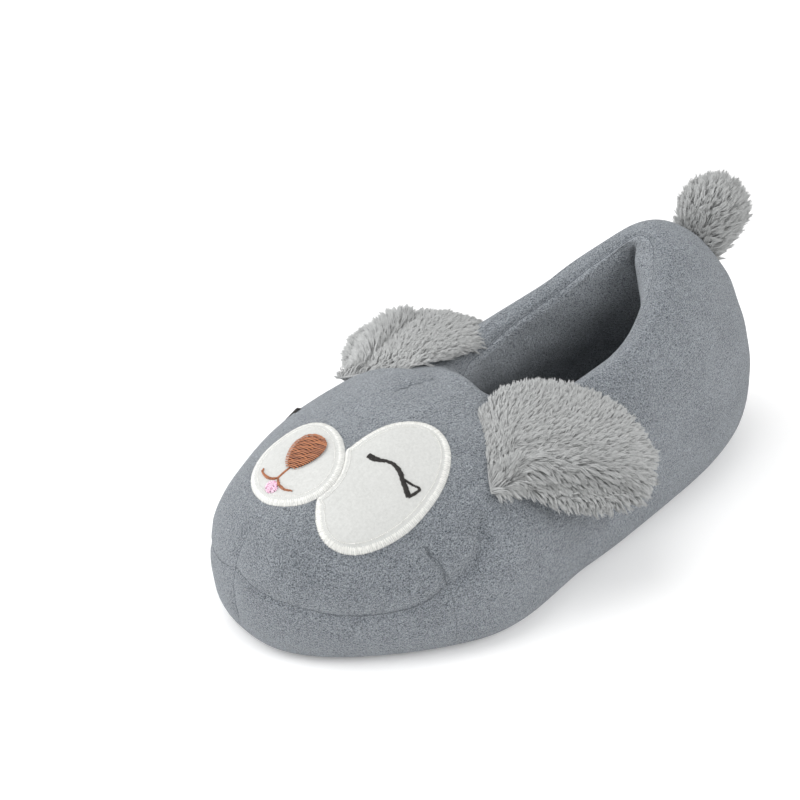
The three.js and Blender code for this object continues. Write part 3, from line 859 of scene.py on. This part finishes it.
def felt_patch(name, outline, node, material, base=0.0, thick=FELT):
    """Felt laid on the cloth, or padding on felt: a domed edge, closed underneath."""
    outline = closed_even(outline, 1.0)
    centre = outline.mean(0)
    shares = np.linspace(0, 1, FELT_RINGS + 1)[1:]
    flat = np.concatenate([centre[None], *[centre + (outline - centre) * s for s in shares]])
    dome = (1 - shares ** EDGE_POWER) ** 0.5
    edge = np.r_[1.0, np.repeat(dome, len(outline))]
    top, _ = FRONT.cast(flat, base + FELT_LIFT + thick * edge)
    under, _ = FRONT.cast(flat, base - FELT_SINK)
    count = len(outline)
    quads = grid_quads(FELT_RINGS, count, start=1)
    last = 1 + (FELT_RINGS - 1) * count
    i = np.arange(count)
    j = (i + 1) % count
    fan = np.stack([np.zeros(count, int), 1 + i, 1 + j], -1)
    size = len(flat)
    rim = np.stack([last + i, last + j, size + last + j, size + last + i], -1)
    points = np.concatenate([top, under])
    sides = np.concatenate([quads, size + quads[:, ::-1], rim[:, ::-1]])
    ends = np.concatenate([fan[:, ::-1], size + fan])
    piece = mesh_object(name, points, *outwards(points, sides, ends))
    dress(piece, material, replaces=(node,))


MUZZLE_OUTLINE = egg(MUZZLE)
EYE_OUTLINE = eye_outline()
felt_patch("muzzle_felt", MUZZLE_OUTLINE, "muzzle_patch", FELT_WHITE)
felt_patch("eye_felt", EYE_OUTLINE, "eye_patch", FELT_WHITE)


# Embroidery: threads laid side by side
THREAD_STEPS = 5
THREAD_UNEVEN = 0.05
THREAD_ROUND = 1.1
END_DIP = 0.25
STITCH_PITCH, STITCH_OVERLAP = 0.5, 1.15


class Stitches:
    """Collects threads on the face and makes one mesh of them."""

    def __init__(self):
        self.face = FRONT
        self.points, self.tones, self.count = [], [], 0

    def lay(self, starts, ends, width, lift, dome, climb=0.0):
        """One thread from each start to each end, arched by dome and climbing towards its start."""
        starts, ends = np.asarray(starts, float), np.asarray(ends, float)
        amount = len(starts)
        t = np.linspace(0, 1, THREAD_STEPS)
        flat = starts[:, None] + (ends - starts)[:, None] * t[None, :, None]
        arch = (1 - (2 * t - 1) ** 2) ** 0.5 * dome
        arch[[0, -1]] -= END_DIP
        uneven = rng.uniform(-THREAD_UNEVEN, THREAD_UNEVEN, (amount, 1))
        height = np.reshape(lift, (-1, 1)) + arch + climb * (0.5 - t) + uneven
        spots, normals = self.face.cast(flat.reshape(-1, 2), height.reshape(-1))
        spots = spots.reshape(amount, THREAD_STEPS, 3)
        normals = normals.reshape(amount, THREAD_STEPS, 3)
        along = unit(spots[:, -1] - spots[:, 0])[:, None]
        across = unit(np.cross(normals, along))
        half = width / 2
        crest = spots + normals * half * THREAD_ROUND
        sides = [spots + across * half, crest, spots - across * half]
        self.points.append(np.stack(sides, 2).reshape(-1, 3))
        tone = rng.uniform(0, 1, amount)
        self.tones.append(np.repeat(tone, THREAD_STEPS * 3))
        self.count += amount

    def across(self, path, widths, lift, dome, jitter):
        """Satin stitch: threads across an open path on the face."""
        path = curve_through(path, STITCH_PITCH)
        normal = quarter_turn(unit(np.gradient(path, axis=0)))
        half = np.interp(np.linspace(0, 1, len(path)), np.linspace(0, 1, len(widths)), widths) / 2
        near = path - normal * (half + rng.uniform(-jitter, jitter, len(path)))[:, None]
        far = path + normal * (half + rng.uniform(-jitter, jitter, len(path)))[:, None]
        self.lay(near, far, STITCH_PITCH * STITCH_OVERLAP, lift, dome)

    def hem(self, loop, width, pitch, lift, dome, thread, jitter, slant=0.0, climb=0.0):
        """Satin stitch from a closed edge inwards; width is a function of the places on it."""
        path = closed_even(loop, pitch)
        along, into = into_loop(path)
        reach = width(path) + rng.uniform(-jitter, jitter, len(path))
        outer = path - into * rng.uniform(-jitter, jitter, len(path))[:, None]
        inner = path + (into + along * slant) * reach[:, None]
        self.lay(inner, outer, thread, lift, dome, climb)

    def build(self, name, material, slot):
        points = np.concatenate(self.points)
        strip = grid_quads(THREAD_STEPS, 3, wrap_columns=False)
        quads = (strip[None] + (np.arange(self.count) * THREAD_STEPS * 3)[:, None, None]).reshape(-1, 4)
        piece = mesh_object(name, points, quads, values={"tone": np.concatenate(self.tones)})
        dress(piece, material)


BORDER_WIDTH, SHARED_BORDER = 2.9, 1.4
BORDER_SLANT = 0.2
INNER_LINE, INNER_STITCH = 0.6, 0.4
# Each row of stitches: pitch, lift, dome, thickness of its thread and unevenness of its ends
ZIGZAG = {"pitch": 1.0, "lift": 0.55, "dome": 0.42, "thread": 0.4, "jitter": 0.26}
GROUND = {"pitch": 0.75, "lift": 0.45, "dome": 0.28, "thread": 0.9, "jitter": 0.1}
FINE = {"pitch": 0.75, "lift": FELT, "dome": 0.14, "thread": 0.6, "jitter": 0.05}


def even_width(width):
    return lambda path: np.full(len(path), width)


def eye_border_width(path):
    """The edge is narrower where the eye lies against the muzzle."""
    away = path - middle_of(MUZZLE)
    gap = np.linalg.norm(away, axis=1) - muzzle_reach(away)
    return blend(SHARED_BORDER, BORDER_WIDTH, smooth((gap - 0.6) / 2.4))


def border(name, outline, width):
    """Zigzag satin edge and a thin line of stitches inside it."""
    stitches = Stitches()
    edge = inset_loop(outline, 0.1, 2)
    climb = FELT - FELT_SINK
    for slant in (BORDER_SLANT, -BORDER_SLANT):
        stitches.hem(edge, width, slant=slant, climb=climb, **ZIGZAG)
    stitches.hem(edge, lambda path: width(path) - 0.3, climb=climb, **GROUND)
    inside = closed_even(edge, OUTLINE_STEP)
    inside = inside + into_loop(inside, 3)[1] * (width(inside) + INNER_LINE)[:, None]
    stitches.hem(inside, even_width(INNER_STITCH), **FINE)
    stitches.build(name, WHITE_THREAD, "felt_white")


border("muzzle_border", MUZZLE_OUTLINE, even_width(BORDER_WIDTH))
border("eye_border", EYE_OUTLINE, eye_border_width)


# Nose: slant and pitch of its threads, where each is split in two or three, and how the rows stagger
NOSE_LEAN = math.radians(-70)
NOSE_PITCH, NOSE_START = 0.8, 0.3
NOSE_SPLITS, NOSE_STAGGER, NOSE_SHORTEST = (-3.2, 2.2), 1.3, 1.5
NOSE_OVERLAP, NOSE_THREAD_WIDTH, NOSE_DOME = 0.2, 0.62, 0.28
NOSE_EDGE_LIFT, NOSE_PADDING = 0.55, 0.75


def nose():
    """Satin-filled nose in staggered fields of slanting threads, over padding."""
    stitches = Stitches()
    along = np.array([math.cos(NOSE_LEAN), math.sin(NOSE_LEAN)])
    across = quarter_turn(along)
    centre = middle_of(NOSE)
    outline = egg(NOSE)
    loop = np.vstack([outline, outline[:1]]) - centre
    heights = loop @ across
    starts, ends = [], []
    for k, level in enumerate(np.arange(heights.min() + NOSE_START, heights.max(), NOSE_PITCH)):
        u = heights - level
        cuts = []
        for i in np.flatnonzero(u[:-1] * u[1:] < 0):
            cuts.append((loop[i] + (loop[i + 1] - loop[i]) * u[i] / (u[i] - u[i + 1])) @ along)
        low, high = min(cuts), max(cuts)
        splits = [split + (k % 3) * NOSE_STAGGER for split in NOSE_SPLITS]
        stops = [low, *[v for v in splits if low + NOSE_SHORTEST < v < high - NOSE_SHORTEST], high]
        for a, b in zip(stops[:-1], stops[1:]):
            starts.append(across * level + along * (a - NOSE_OVERLAP))
            ends.append(across * level + along * (b + NOSE_OVERLAP))
    starts, ends = np.array(starts), np.array(ends)
    reach = np.linalg.norm((starts + ends) / [NOSE["length"], NOSE["width"]], axis=1)
    lift = FELT + NOSE_EDGE_LIFT + NOSE_PADDING * np.sqrt(np.clip(1 - reach ** 2, 0, 1))
    stitches.lay(centre + starts, centre + ends, NOSE_THREAD_WIDTH, lift, NOSE_DOME)
    return stitches


# The mouth under the nose, as places down and left on the face
MOUTH_STEM = [(9.4, -0.9), (12.6, -1.0), (15.4, -0.9)]
MOUTH_RIGHT = [(15.2, -0.9), (16.9, -2.9), (17.6, -5.2), (17.6, -7.6), (16.9, -9.8), (16.0, -10.2)]
MOUTH_LEFT = [(15.2, -0.9), (16.7, 1.6), (17.0, 4.2), (16.5, 6.8), (15.4, 8.9)]
TONGUE_CENTRE = np.array([19.3, 0.3])
TONGUE_RADII = np.array([2.5, 2.7])
MOUTH_WIDTHS = [0.8, 1.2, 1.2, 0.9, 0.6]
TONGUE_THREADS = 150
LASH = [(-15.9, 18.4), (-16.4, 20.8), (-17.6, 22.8), (-19.4, 24.9), (-20.4, 27.8), (-20.2, 30.6),
        (-18.6, 34.3), (-15.8, 40.4)]
LASH_WIDTHS = [2.9, 2.5, 1.5, 1.8, 2.1, 2.1, 2.3, 2.2]
LASH_WEDGE = [(-18.8, 34.0), (-20.0, 37.6), (-21.1, 40.6), (-18.8, 40.8), (-15.8, 40.4)]
WEDGE_WIDTHS = [1.2, 1.1, 1.2, 1.2, 1.2]
FAR_LASH_START = np.array([-15.9, -36.4])
FAR_LASH_OUT = (0.24, -0.62, 0.75)


def nose_and_mouth():
    brown = nose()
    brown.across(MOUTH_STEM, [0.8], FELT + 0.1, 0.35, 0.05)
    for path in (MOUTH_RIGHT, MOUTH_LEFT):
        brown.across(path, MOUTH_WIDTHS, FELT + 0.25, 0.4, 0.12)
    brown.build("nose_stitches", NOSE_THREAD, "nose_thread")
    # The padding under the nose threads is coloured nearly black as painted shade in the gaps between the
    # threads
    felt_patch("nose_shade_pad", inset_loop(egg(NOSE), 0.5), "nose", NOSE_GAP_SHADE, FELT, 0.5)


def lashes():
    """The near lash on the felt, and its mirror image on the inner side's bare cloth."""
    dark = Stitches()

    def add(place, lift):
        dark.across(place(LASH), LASH_WIDTHS, lift, 0.5, 0.16)
        dark.across(place(LASH_WEDGE), WEDGE_WIDTHS, lift, 0.35, 0.1)

    add(np.array, FELT + 0.1)
    start, _ = FRONT.cast(FAR_LASH_START, 0)
    dark.face = Face(start[0], FAR_LASH_OUT)
    add(lambda path: (np.array(path) - LASH[0]) * [1, -1], 0.2)
    dark.build("lash_stitches", DARK_THREAD, "nose_thread")


def tongue():
    """Short threads crossing each other at random."""
    pink = Stitches()

    def circle():
        angle = rng.uniform(0, 2 * math.pi, TONGUE_THREADS)
        return np.stack([np.cos(angle), np.sin(angle)], -1)

    spot = circle() * np.sqrt(rng.uniform(0, 1, TONGUE_THREADS))[:, None]
    spot = TONGUE_CENTRE + spot * TONGUE_RADII
    half = circle() * rng.uniform(0.35, 0.8, TONGUE_THREADS)[:, None]
    pink.lay(spot - half, spot + half, 0.34, FELT + rng.uniform(0.1, 0.6, TONGUE_THREADS), 0.35)
    pink.build("tongue_stitches", PINK_THREAD, "felt_white")


nose_and_mouth()
lashes()
tongue()


# Painted shade: dark lines in the seam troughs, and the seam round the collar's lip
COLLAR_LINE_WIDTH = 0.3
LINE_LIFT, LINE_CREST = 0.04, 0.12


def seam_lines():
    points, quads, tones = [], [], []

    def ribbon(path, normals, closed, width):
        path = path + normals * LINE_LIFT
        ahead = np.roll(path, -1, 0) - np.roll(path, 1, 0) if closed else np.gradient(path, axis=0)
        across = unit(np.cross(normals, ahead)) * np.reshape(width, (-1, 1)) / 2
        start = sum(len(block) for block in points)
        quads.append(grid_quads(len(path), 3, wrap_rows=closed, wrap_columns=False, start=start))
        lanes = [path - across, path + normals * LINE_CREST, path + across]
        points.append(np.stack(lanes, 1).reshape(-1, 3))
        tones.append(np.repeat(rng.uniform(0, 1, len(path)), 3))

    for path, _, _, _, width in SEAMS:
        if not width:
            continue
        spots, normals = np.zeros_like(path), np.zeros_like(path)
        for i, p in enumerate(path):
            spot, normal, _, _ = BODY_TREE.find_nearest(Vector(p))
            spots[i], normals[i] = spot, normal
        for _ in range(3):
            spots[1:-1] = (spots[:-2] + 2 * spots[1:-1] + spots[2:]) / 4
        run = np.linspace(0, 1, len(path))
        ribbon(spots, unit(normals), False, width * smooth(np.minimum(run, 1 - run) * 8 + 0.15))
    row = np.flatnonzero(BODY_KINDS == LIP)[np.abs(LIP_RUNS - COLLAR_SEAM_RUN).argmin()]
    path = BODY[row]
    normals = unit(np.cross(np.roll(path, -1, 0) - np.roll(path, 1, 0), BODY[row + 1] - BODY[row - 1]))
    if normals[:, 2].mean() < 0:
        normals = -normals
    ribbon(path, normals, True, COLLAR_LINE_WIDTH)
    values = {"tone": np.concatenate(tones)}
    piece = mesh_object("seam_lines", np.concatenate(points), np.concatenate(quads), values=values)
    dress(piece, SEAM_SHADE)


seam_lines()


# Insole: soft pad inside
INSOLE_CORNER_STEPS = 5
INSOLE_LANES = 14
INSOLE_LUMPS = [(30, 0.5, 9)]


def build_insole():
    """Rings up the rounded edge, with lanes across that close the bottom and the top."""
    edge = SOLE_INSET + HEM_WIDTH + GAP
    low = SOLE_THICK + GAP
    high = low + INSOLE_THICK
    rows = [ring_of(lambda side: LINE.inset(edge, low, side))]
    for turn in np.linspace(0, 1, INSOLE_CORNER_STEPS):
        angle = turn * math.pi / 2
        inset = edge + 2 * INSOLE_CROWN * (1 - math.cos(angle))
        z = high - INSOLE_CROWN + INSOLE_CROWN * math.sin(angle)
        rows.append(ring_of(lambda side: LINE.inset(inset, z, side)))
    columns = 2 * HALF_COLUMNS
    points, quads, tris = [np.concatenate(rows)], [grid_quads(len(rows), columns)], []
    share = np.linspace(0, 1, INSOLE_LANES + 1)[1:-1]
    index = np.arange(1, HALF_COLUMNS)
    for row in (0, len(rows) - 1):
        outer, inner = rows[row][1:HALF_COLUMNS], rows[row][:HALF_COLUMNS:-1]
        inside = outer + (inner - outer) * share[:, None, None]
        if row:
            inside[..., 2] += stuffing(inside, INSOLE_LUMPS) * np.sin(share * math.pi)[:, None]
        first = row * columns
        start = sum(len(block) for block in points)
        middle = start + np.arange(inside.size // 3).reshape(len(share), -1)
        lanes = np.vstack([first + index, middle, first + columns - index])
        corners = [lanes[:-1, :-1], lanes[:-1, 1:], lanes[1:, 1:], lanes[1:, :-1]]
        quads.append(np.stack(corners, -1).reshape(-1, 4))
        points.append(inside.reshape(-1, 3))
        for tip, lane in ((first, lanes[:, 0]), (first + HALF_COLUMNS, lanes[:, -1])):
            tris.extend((tip, a, b) for a, b in zip(lane[:-1], lane[1:]))
    piece = mesh_object("insole_pad", np.concatenate(points), np.concatenate(quads), np.array(tris))
    mend_normals(piece)
    # The insole takes the lining's lighter plush, painted light for the dim inside
    dress(piece, LIT_LINING_PLUSH, replaces=("insole",))


def mend_normals(piece):
    """Turns all faces of a closed mesh outwards, whichever way each was wound."""
    work = bmesh.new()
    work.from_mesh(piece.data)
    bmesh.ops.recalc_face_normals(work, faces=work.faces)
    work.to_mesh(piece.data)
    work.free()


build_insole()
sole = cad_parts["outsole"]
sole.data.materials.clear()
sole.data.materials.append(SOLE_GRIP)


# Fur: roots scattered over a core, combed, gathered into locks
HAIR_STEPS = np.array([0.0, 0.5])
HAIR_TAPER = np.array([1.0, 0.8])
HAIR_SIDES = 3
HAIR_NAP = 0.7
HAIR_LENGTHS, HAIR_WIDTHS = (0.7, 1.15), (0.7, 1.3)
HAIR_BOW = 0.55
LOCK_STRAY, HAIR_STRAY = 0.26, 0.14
LOCK_PULL, LOCK_SPREAD = 0.62, 0.2


def scatter(points, count, draw, keep=None):
    """Random places on a grid of points, and the grid's normals there."""
    quads = grid_quads(*points.shape[:2])
    flat, normals = points.reshape(-1, 3), grid_normals(points, False).reshape(-1, 3)
    a, b, c, d = (flat[quads[:, i]] for i in range(4))
    area = np.linalg.norm(np.cross(c - a, d - b), axis=1)
    if keep is not None:
        area = area * keep(normals[quads[:, 0]])
    corner = quads[draw.choice(len(quads), count, p=area / area.sum())]
    u, v = draw.uniform(size=(2, count, 1))
    shares = [(1 - u) * (1 - v), (1 - u) * v, u * v, u * (1 - v)]
    spot = sum(share * flat[corner[:, i]] for i, share in enumerate(shares))
    normal = unit(sum(share * normals[corner[:, i]] for i, share in enumerate(shares)))
    return spot, normal


def fur(pieces, spot, normal, comb, length, lift, draw, droop, clump, width, fill):
    """Three-sided tapered hairs, each leaning to the tip of its lock; pieces has a mask for each piece."""
    count = len(spot)
    centres = draw.choice(count, count // clump, replace=False)
    tree = tree_of(spot[centres])
    owner = centres[[tree.find(p)[1] for p in spot]]
    length = (length * draw.uniform(*HAIR_LENGTHS, count))[:, None]
    stray = draw.normal(size=(count, 3))
    way = unit(comb + stray[owner] * LOCK_STRAY + draw.normal(size=(count, 3)) * HAIR_STRAY)
    rise = np.reshape(lift * (0.75 + 0.5 * draw.uniform(size=count)[owner]), (-1, 1))
    tip = spot + length * unit(way + normal * rise + np.array([0, 0, -droop]))
    tip = blend(tip, tip[owner] + (spot - spot[owner]) * LOCK_SPREAD, LOCK_PULL)
    t = HAIR_STEPS[:, None]
    path = spot[:, None] + (tip - spot)[:, None] * t + (normal * length * HAIR_BOW)[:, None] * (t * (1 - t))
    side = unit(np.cross(way, normal))
    over = unit(np.cross(tip - spot, side))
    turn = draw.uniform(0, 2 * math.pi, count)[:, None] + np.arange(HAIR_SIDES) * 2 * math.pi / HAIR_SIDES
    corners = side[:, None] * np.cos(turn)[..., None] + over[:, None] * np.sin(turn)[..., None]
    thick = np.reshape(width * draw.uniform(*HAIR_WIDTHS, count), (-1, 1, 1, 1)) / 2
    rings = path[:, :, None] + corners[:, None] * thick * HAIR_TAPER[None, :, None, None]
    points = np.concatenate([rings.reshape(count, -1, 3), tip[:, None]], 1)
    facing = unit(corners + normal[:, None] * HAIR_NAP)
    normals = np.concatenate([np.tile(facing, (1, len(HAIR_STEPS), 1)), normal[:, None]], 1)
    each = points.shape[1]
    rises = np.r_[np.repeat(HAIR_STEPS, HAIR_SIDES), 1.0]
    tone = draw.uniform(0, 1, count) * 0.5 + draw.uniform(0, 1, count)[owner] * 0.5
    k = np.arange(HAIR_SIDES)
    j = (k + 1) % HAIR_SIDES
    band = np.stack([k, j, HAIR_SIDES + j, HAIR_SIDES + k], -1)
    point = np.stack([HAIR_SIDES + k, HAIR_SIDES + j, np.full(HAIR_SIDES, each - 1)], -1)
    for name, chosen in pieces.items():
        hairs = int(chosen.sum())
        base = np.arange(hairs)[:, None, None] * each
        values = {"rise": np.tile(rises, hairs), "tone": np.repeat(tone[chosen], each)}
        quads, tris = (base + band).reshape(-1, 4), (base + point).reshape(-1, 3)
        shading = normals[chosen].reshape(-1, 3)
        piece = mesh_object(name, points[chosen].reshape(-1, 3), quads, tris, shading, values)
        dress(piece, FUR)


# The skin under the fur takes the fur's colour near the root, with its painted shade
SKIN_RISE = 0.15
UNDER_FACING = 0.25


def core_mesh(name, points, node, under=None):
    """The stuffed skin under the fur, closed at both ends by fans; what faces under is short plush."""
    rows, columns = points.shape[:2]
    flat = points.reshape(-1, 3)
    flat = np.concatenate([flat, points[:1].mean(1), points[-1:].mean(1)])
    i = np.arange(columns)
    j = (i + 1) % columns
    size = rows * columns
    first = np.stack([np.full(columns, size), j, i], -1)
    last = np.stack([np.full(columns, size + 1), size - columns + i, size - columns + j], -1)
    quads, tris = outwards(flat, grid_quads(rows, columns), np.concatenate([first, last]))
    values = {"rise": np.full(len(flat), SKIN_RISE), "tone": np.full(len(flat), 0.5)}
    piece = mesh_object(name, flat, quads, tris, values=values)
    dress(piece, FUR, replaces=(node,))
    if under is not None:
        piece.data.materials.append(PLUSH)
        for face in piece.data.polygons:
            face.material_index = int(face.normal @ Vector(under) > UNDER_FACING)


# Ears: seat and seam as shares of the wall, as in the frame
EAR_SECTIONS = {
    "at": [0.0, 0.15, 0.50, 0.80, 0.94, 1.0],
    "width": [0.78, 0.92, 1.00, 0.86, 0.52, 0.16],
    "thick": [0.20, 0.85, 1.00, 0.85, 0.60, 0.25],
}
# How much fuller the ear is on the side of its foot edge
EAR_FOOT = {"at": [0.0, 0.12, 0.32, 0.60, 0.80, 1.0], "full": [0.96, 0.86, 1.12, 1.17, 1.15, 1.0]}
EAR_SEAT, EAR_REST = (0.691, 0.224), (0.382, 0.594)
EAR_SEAM_TOP, EAR_SEAM_FOOT = (0.722, 0.026), (0.682, 0.477)
EAR_LENGTH, EAR_WIDTH, EAR_THICK = 74.0, 60.0, 14.0
EAR_SINK = 2.0
FUR_INSET = 3.4
EAR_SKIN_LENGTH = EAR_LENGTH - FUR_INSET + 1.5
EAR_ROWS, EAR_COLUMNS = 60, 72
# How the soft ear hangs off its straight middle line, towards its foot edge
EAR_HANG = {"at": [0.0, 0.14, 0.32, 0.70, 1.0], "foot": [4.8, 0.8, -2.6, -1.6, 3.5]}
# Folds of the skin under the fur: place across the ear, width and height
EAR_FOLDS = [(0.30, 0.09, -2.0), (0.52, 0.13, 1.8), (0.82, 0.09, -1.6)]
EAR_HAIRS = 27000
EAR_FUR = {"droop": 0.12, "clump": 8, "width": 0.42, "fill": 0.5}
EAR_HAIR, EAR_LIFT = 4.6, 0.85
UNDER_BARE = 0.3
# The hair parts along a line across the ear's places, with a fluffy band below it and a flat strip
# by the seam; it is combed by degrees from the ear's length towards its foot edge
PARTING, BAND_END, STRIP_END = 0.34, 0.66, 0.10
COMB_ABOVE, COMB_BELOW, COMB_STRIP = (-78, -6), (22, 68), -74
COMB_END_FAN, COMB_END_LEAN = 62, 8
FRINGE_FACING = 0.62
# How far the sewn end reaches forward at its top and, on each ear, at its foot; where the free end
# lies, how it rolls, and how deep the sewn end sits on the cloth
EAR_END_TOP = 1.0
OUTER_EAR = {"side": 1, "seed": 23, "rest": (0, 15, 0), "roll": 0, "end_foot": 3.2, "seat": 0}
INNER_EAR = {"side": -1, "seed": 29, "rest": (0, -19, 7), "roll": -12, "end_foot": -6, "seat": 6}


class Ear:
    """A stuffed flap sewn on along its short end; share runs from there to the free end."""

    def __init__(self, form):
        self.form = form
        side = form["side"]
        self.base = wall_point(*EAR_SEAT, side) - np.array([0, 0, EAR_SINK])
        toward = wall_point(*EAR_REST, side) + np.array(form["rest"])
        across = wall_point(*EAR_SEAM_FOOT, side) - wall_point(*EAR_SEAM_TOP, side)
        self.along = unit(toward - self.base)
        self.flat = unit(across - self.along * (across @ self.along))
        up = np.cross(self.along, self.flat)
        self.up = up if up[2] > 0 else -up
        self.under = -self.turned(np.array(0.5))[1]

    def turned(self, share):
        """Directions across and over the ear, which rolls more towards its free end."""
        angle = (math.radians(self.form["roll"]) * smooth(share / 0.6))[..., None]
        over = self.flat * np.cos(angle) - self.up * np.sin(angle)
        return over, self.up * np.cos(angle) + self.flat * np.sin(angle)

    def skin(self):
        """Grid of points round the ear; across is 1 at its foot edge and -1 at its top edge."""
        share = np.linspace(0, 1, EAR_ROWS)[:, None]
        angle = np.linspace(0, 2 * math.pi, EAR_COLUMNS, endpoint=False)[None]
        across, above = np.cos(angle), np.sin(angle)
        half = np.maximum(EAR_WIDTH / 2 * read(EAR_SECTIONS, "width", share) - FUR_INSET, 1.5)
        half = half * np.where(across > 0, read(EAR_FOOT, "full", share), 1)
        deep = np.maximum(EAR_THICK / 2 * read(EAR_SECTIONS, "thick", share) - FUR_INSET * 0.5, 0.8)
        end = blend(EAR_END_TOP, self.form["end_foot"], (across + 1) / 2) * (1 - smooth(share / 0.35))
        folds = sum(high * np.exp(-((across - spot) / wide) ** 2) for spot, wide, high in EAR_FOLDS)
        folds = folds - self.form["seat"] * smooth((across - 0.1) / 0.9) * (1 - smooth(share / 0.5))
        folds = folds * (above > 0) * smooth(share / 0.12) * (1 - smooth((share - 0.7) / 0.2))
        over, out = self.turned(share)
        middle = self.base + self.along * (EAR_SKIN_LENGTH * share - end)[..., None]
        middle = middle + over * read(EAR_HANG, "foot", share)[..., None]
        points = middle + over * (half * across)[..., None] + out * (deep * above + folds)[..., None]
        return points if facing_out(points, grid_normals(points, False)) else points[:, ::-1]

    def combed(self, spot, normal):
        """Direction, length and lift of the hair at each place, and which hairs are the fringe's."""
        offset = spot - self.base
        run = offset @ self.along / EAR_SKIN_LENGTH
        over, out = self.turned(run)
        across = np.einsum("ij,ij->i", offset, over) - read(EAR_HANG, "foot", run)
        across = across / (EAR_WIDTH / 2 - FUR_INSET)
        top = np.einsum("ij,ij->i", normal, out)
        rim = 1 - smooth((top - 0.1) / 0.5)
        strip = 1 - smooth((run - STRIP_END) / 0.05)
        fluff = smooth((across - PARTING) / 0.06) * (1 - smooth((run - 0.76) / 0.15))
        band = fluff * (1 - smooth((across - BAND_END) / 0.12))
        above = blend(*COMB_ABOVE, (across + 1) / (1 + PARTING))
        below = blend(*COMB_BELOW, (across - PARTING) / (1 - PARTING))
        fan = blend(above, COMB_END_FAN * across - COMB_END_LEAN, smooth((run - 0.6) / 0.3))
        fan = blend(fan, below, fluff)
        fan = np.radians(blend(fan, COMB_STRIP, strip * (across < 0.62)))
        comb = self.along * np.cos(fan)[:, None] + over * np.sin(fan)[:, None]
        comb = unit(comb - normal * np.einsum("ij,ij->i", comb, normal)[:, None] * 0.8)
        length = EAR_HAIR + 3.2 * band + 0.9 * rim - 0.8 * strip
        lift = EAR_LIFT - 0.35 * rim + 0.25 * band - 0.25 * strip
        return comb, length, lift, (top < FRINGE_FACING) | (across > PARTING)


def build_ear(name, node, form):
    ear = Ear(form)
    draw = np.random.default_rng(form["seed"])
    skin = ear.skin()
    core_mesh(name + "_core", skin, node, ear.under)
    spot, normal = scatter(skin, EAR_HAIRS, draw, lambda facing: facing @ ear.under < UNDER_BARE)
    comb, length, lift, fringe = ear.combed(spot, normal)
    pieces = {name: ~fringe, name + "_fringe": fringe}
    fur(pieces, spot, normal, comb, length, lift, draw, **EAR_FUR)


build_ear("ear_outer_fur", "ear_outer", OUTER_EAR)
build_ear("ear_inner_fur", "ear_inner", INNER_EAR)


# Tail behind the heel
TAIL_SECTIONS = {
    "at": [0.0, 0.35, 0.70, 0.92, 1.0],
    "width": [0.60, 0.85, 1.00, 0.62, 0.20],
}
TAIL_LENGTH, TAIL_WIDTH, TAIL_SINK, TAIL_SEAT = 38.0, 23.0, 8.0, 0.4
TAIL_SKIN_LENGTH, TAIL_INSET = TAIL_LENGTH - 3.0, 0.8
TAIL_LEAN = np.array([-0.5, 0, 0.87])
TAIL_ROWS, TAIL_COLUMNS = 40, 40
TAIL_HAIRS, TAIL_HAIR, TAIL_LIFT = 11000, 8.0, 0.9
TAIL_FUR = {"droop": 0.0, "clump": 9, "width": 0.46, "fill": 0.6}


def tail():
    draw = np.random.default_rng(31)
    base = wall_point(0.0, TAIL_SEAT) - TAIL_LEAN * TAIL_SINK
    along = unit(TAIL_LEAN)
    flat = np.array([0, 1.0, 0])
    up = np.cross(along, flat)
    share = np.linspace(0, 1, TAIL_ROWS)[:, None]
    angle = np.linspace(0, 2 * math.pi, TAIL_COLUMNS, endpoint=False)[None]
    half = np.maximum(TAIL_WIDTH / 2 * read(TAIL_SECTIONS, "width", share) - TAIL_INSET, 1.0)
    points = base + along * (TAIL_SKIN_LENGTH * share)[..., None]
    points = points + flat * (half * np.cos(angle))[..., None] + up * (half * np.sin(angle))[..., None]
    if not facing_out(points, grid_normals(points, False)):
        points = points[:, ::-1]
    core_mesh("tail_core", points, "tail")
    spot, normal = scatter(points, TAIL_HAIRS, draw)
    comb = unit(along * 0.9 + np.cross(along, normal) * 0.2)
    pieces = {"tail_fur": np.full(TAIL_HAIRS, True)}
    fur(pieces, spot, normal, comb, TAIL_HAIR, TAIL_LIFT, draw, **TAIL_FUR)


tail()


# Floor and light
FLOOR_REACH = 9000.0
FLOOR_WHITE = (0.93, 0.93, 0.93)
FLOOR_GLOW = {"Emission_Color": (1, 1, 1, 1), "Emission_Strength": 0.16}
WORLD_STRENGTH = 0.65
# Lamps: place and aim in millimetres, size in metres, power
LAMPS = {
    "key": ((420, -260, 1300), (0, 0, 40), 1.2, 7.5),
    "front": ((1100, -600, 560), (0, 0, 40), 1.4, 11),
    "side": ((-250, 950, 800), (0, 0, 60), 0.8, 5),
}


def add_floor():
    corners = FLOOR_REACH * np.array([[-1, -1, 0], [1, -1, 0], [1, 1, 0], [-1, 1, 0]])
    floor = mesh_object("floor", corners, np.array([[0, 1, 2, 3]]))
    paint = Paint("floor_white")
    floor.data.materials.append(paint.finish(FLOOR_WHITE, 0.7, Specular_IOR_Level=0.2, **FLOOR_GLOW))


def add_lamp(name, place_mm, aim_mm, size, power):
    light = bpy.data.lights.new(name, "AREA")
    light.shape = "DISK"
    light.size = size
    light.energy = power
    lamp = bpy.data.objects.new(name, light)
    bpy.context.scene.collection.objects.link(lamp)
    lamp.location = Vector(place_mm) * MM
    lamp.rotation_euler = (Vector(aim_mm) - Vector(place_mm)).to_track_quat("-Z", "Y").to_euler()


def add_world():
    world = bpy.data.worlds.new("studio")
    world.use_nodes = True
    background = world.node_tree.nodes["Background"]
    background.inputs["Color"].default_value = (1, 1, 1, 1)
    background.inputs["Strength"].default_value = WORLD_STRENGTH
    bpy.context.scene.world = world


add_floor()
add_world()
for lamp_name, lamp_values in LAMPS.items():
    add_lamp(lamp_name, *lamp_values)
bpy.context.scene.view_settings.view_transform = "Standard"
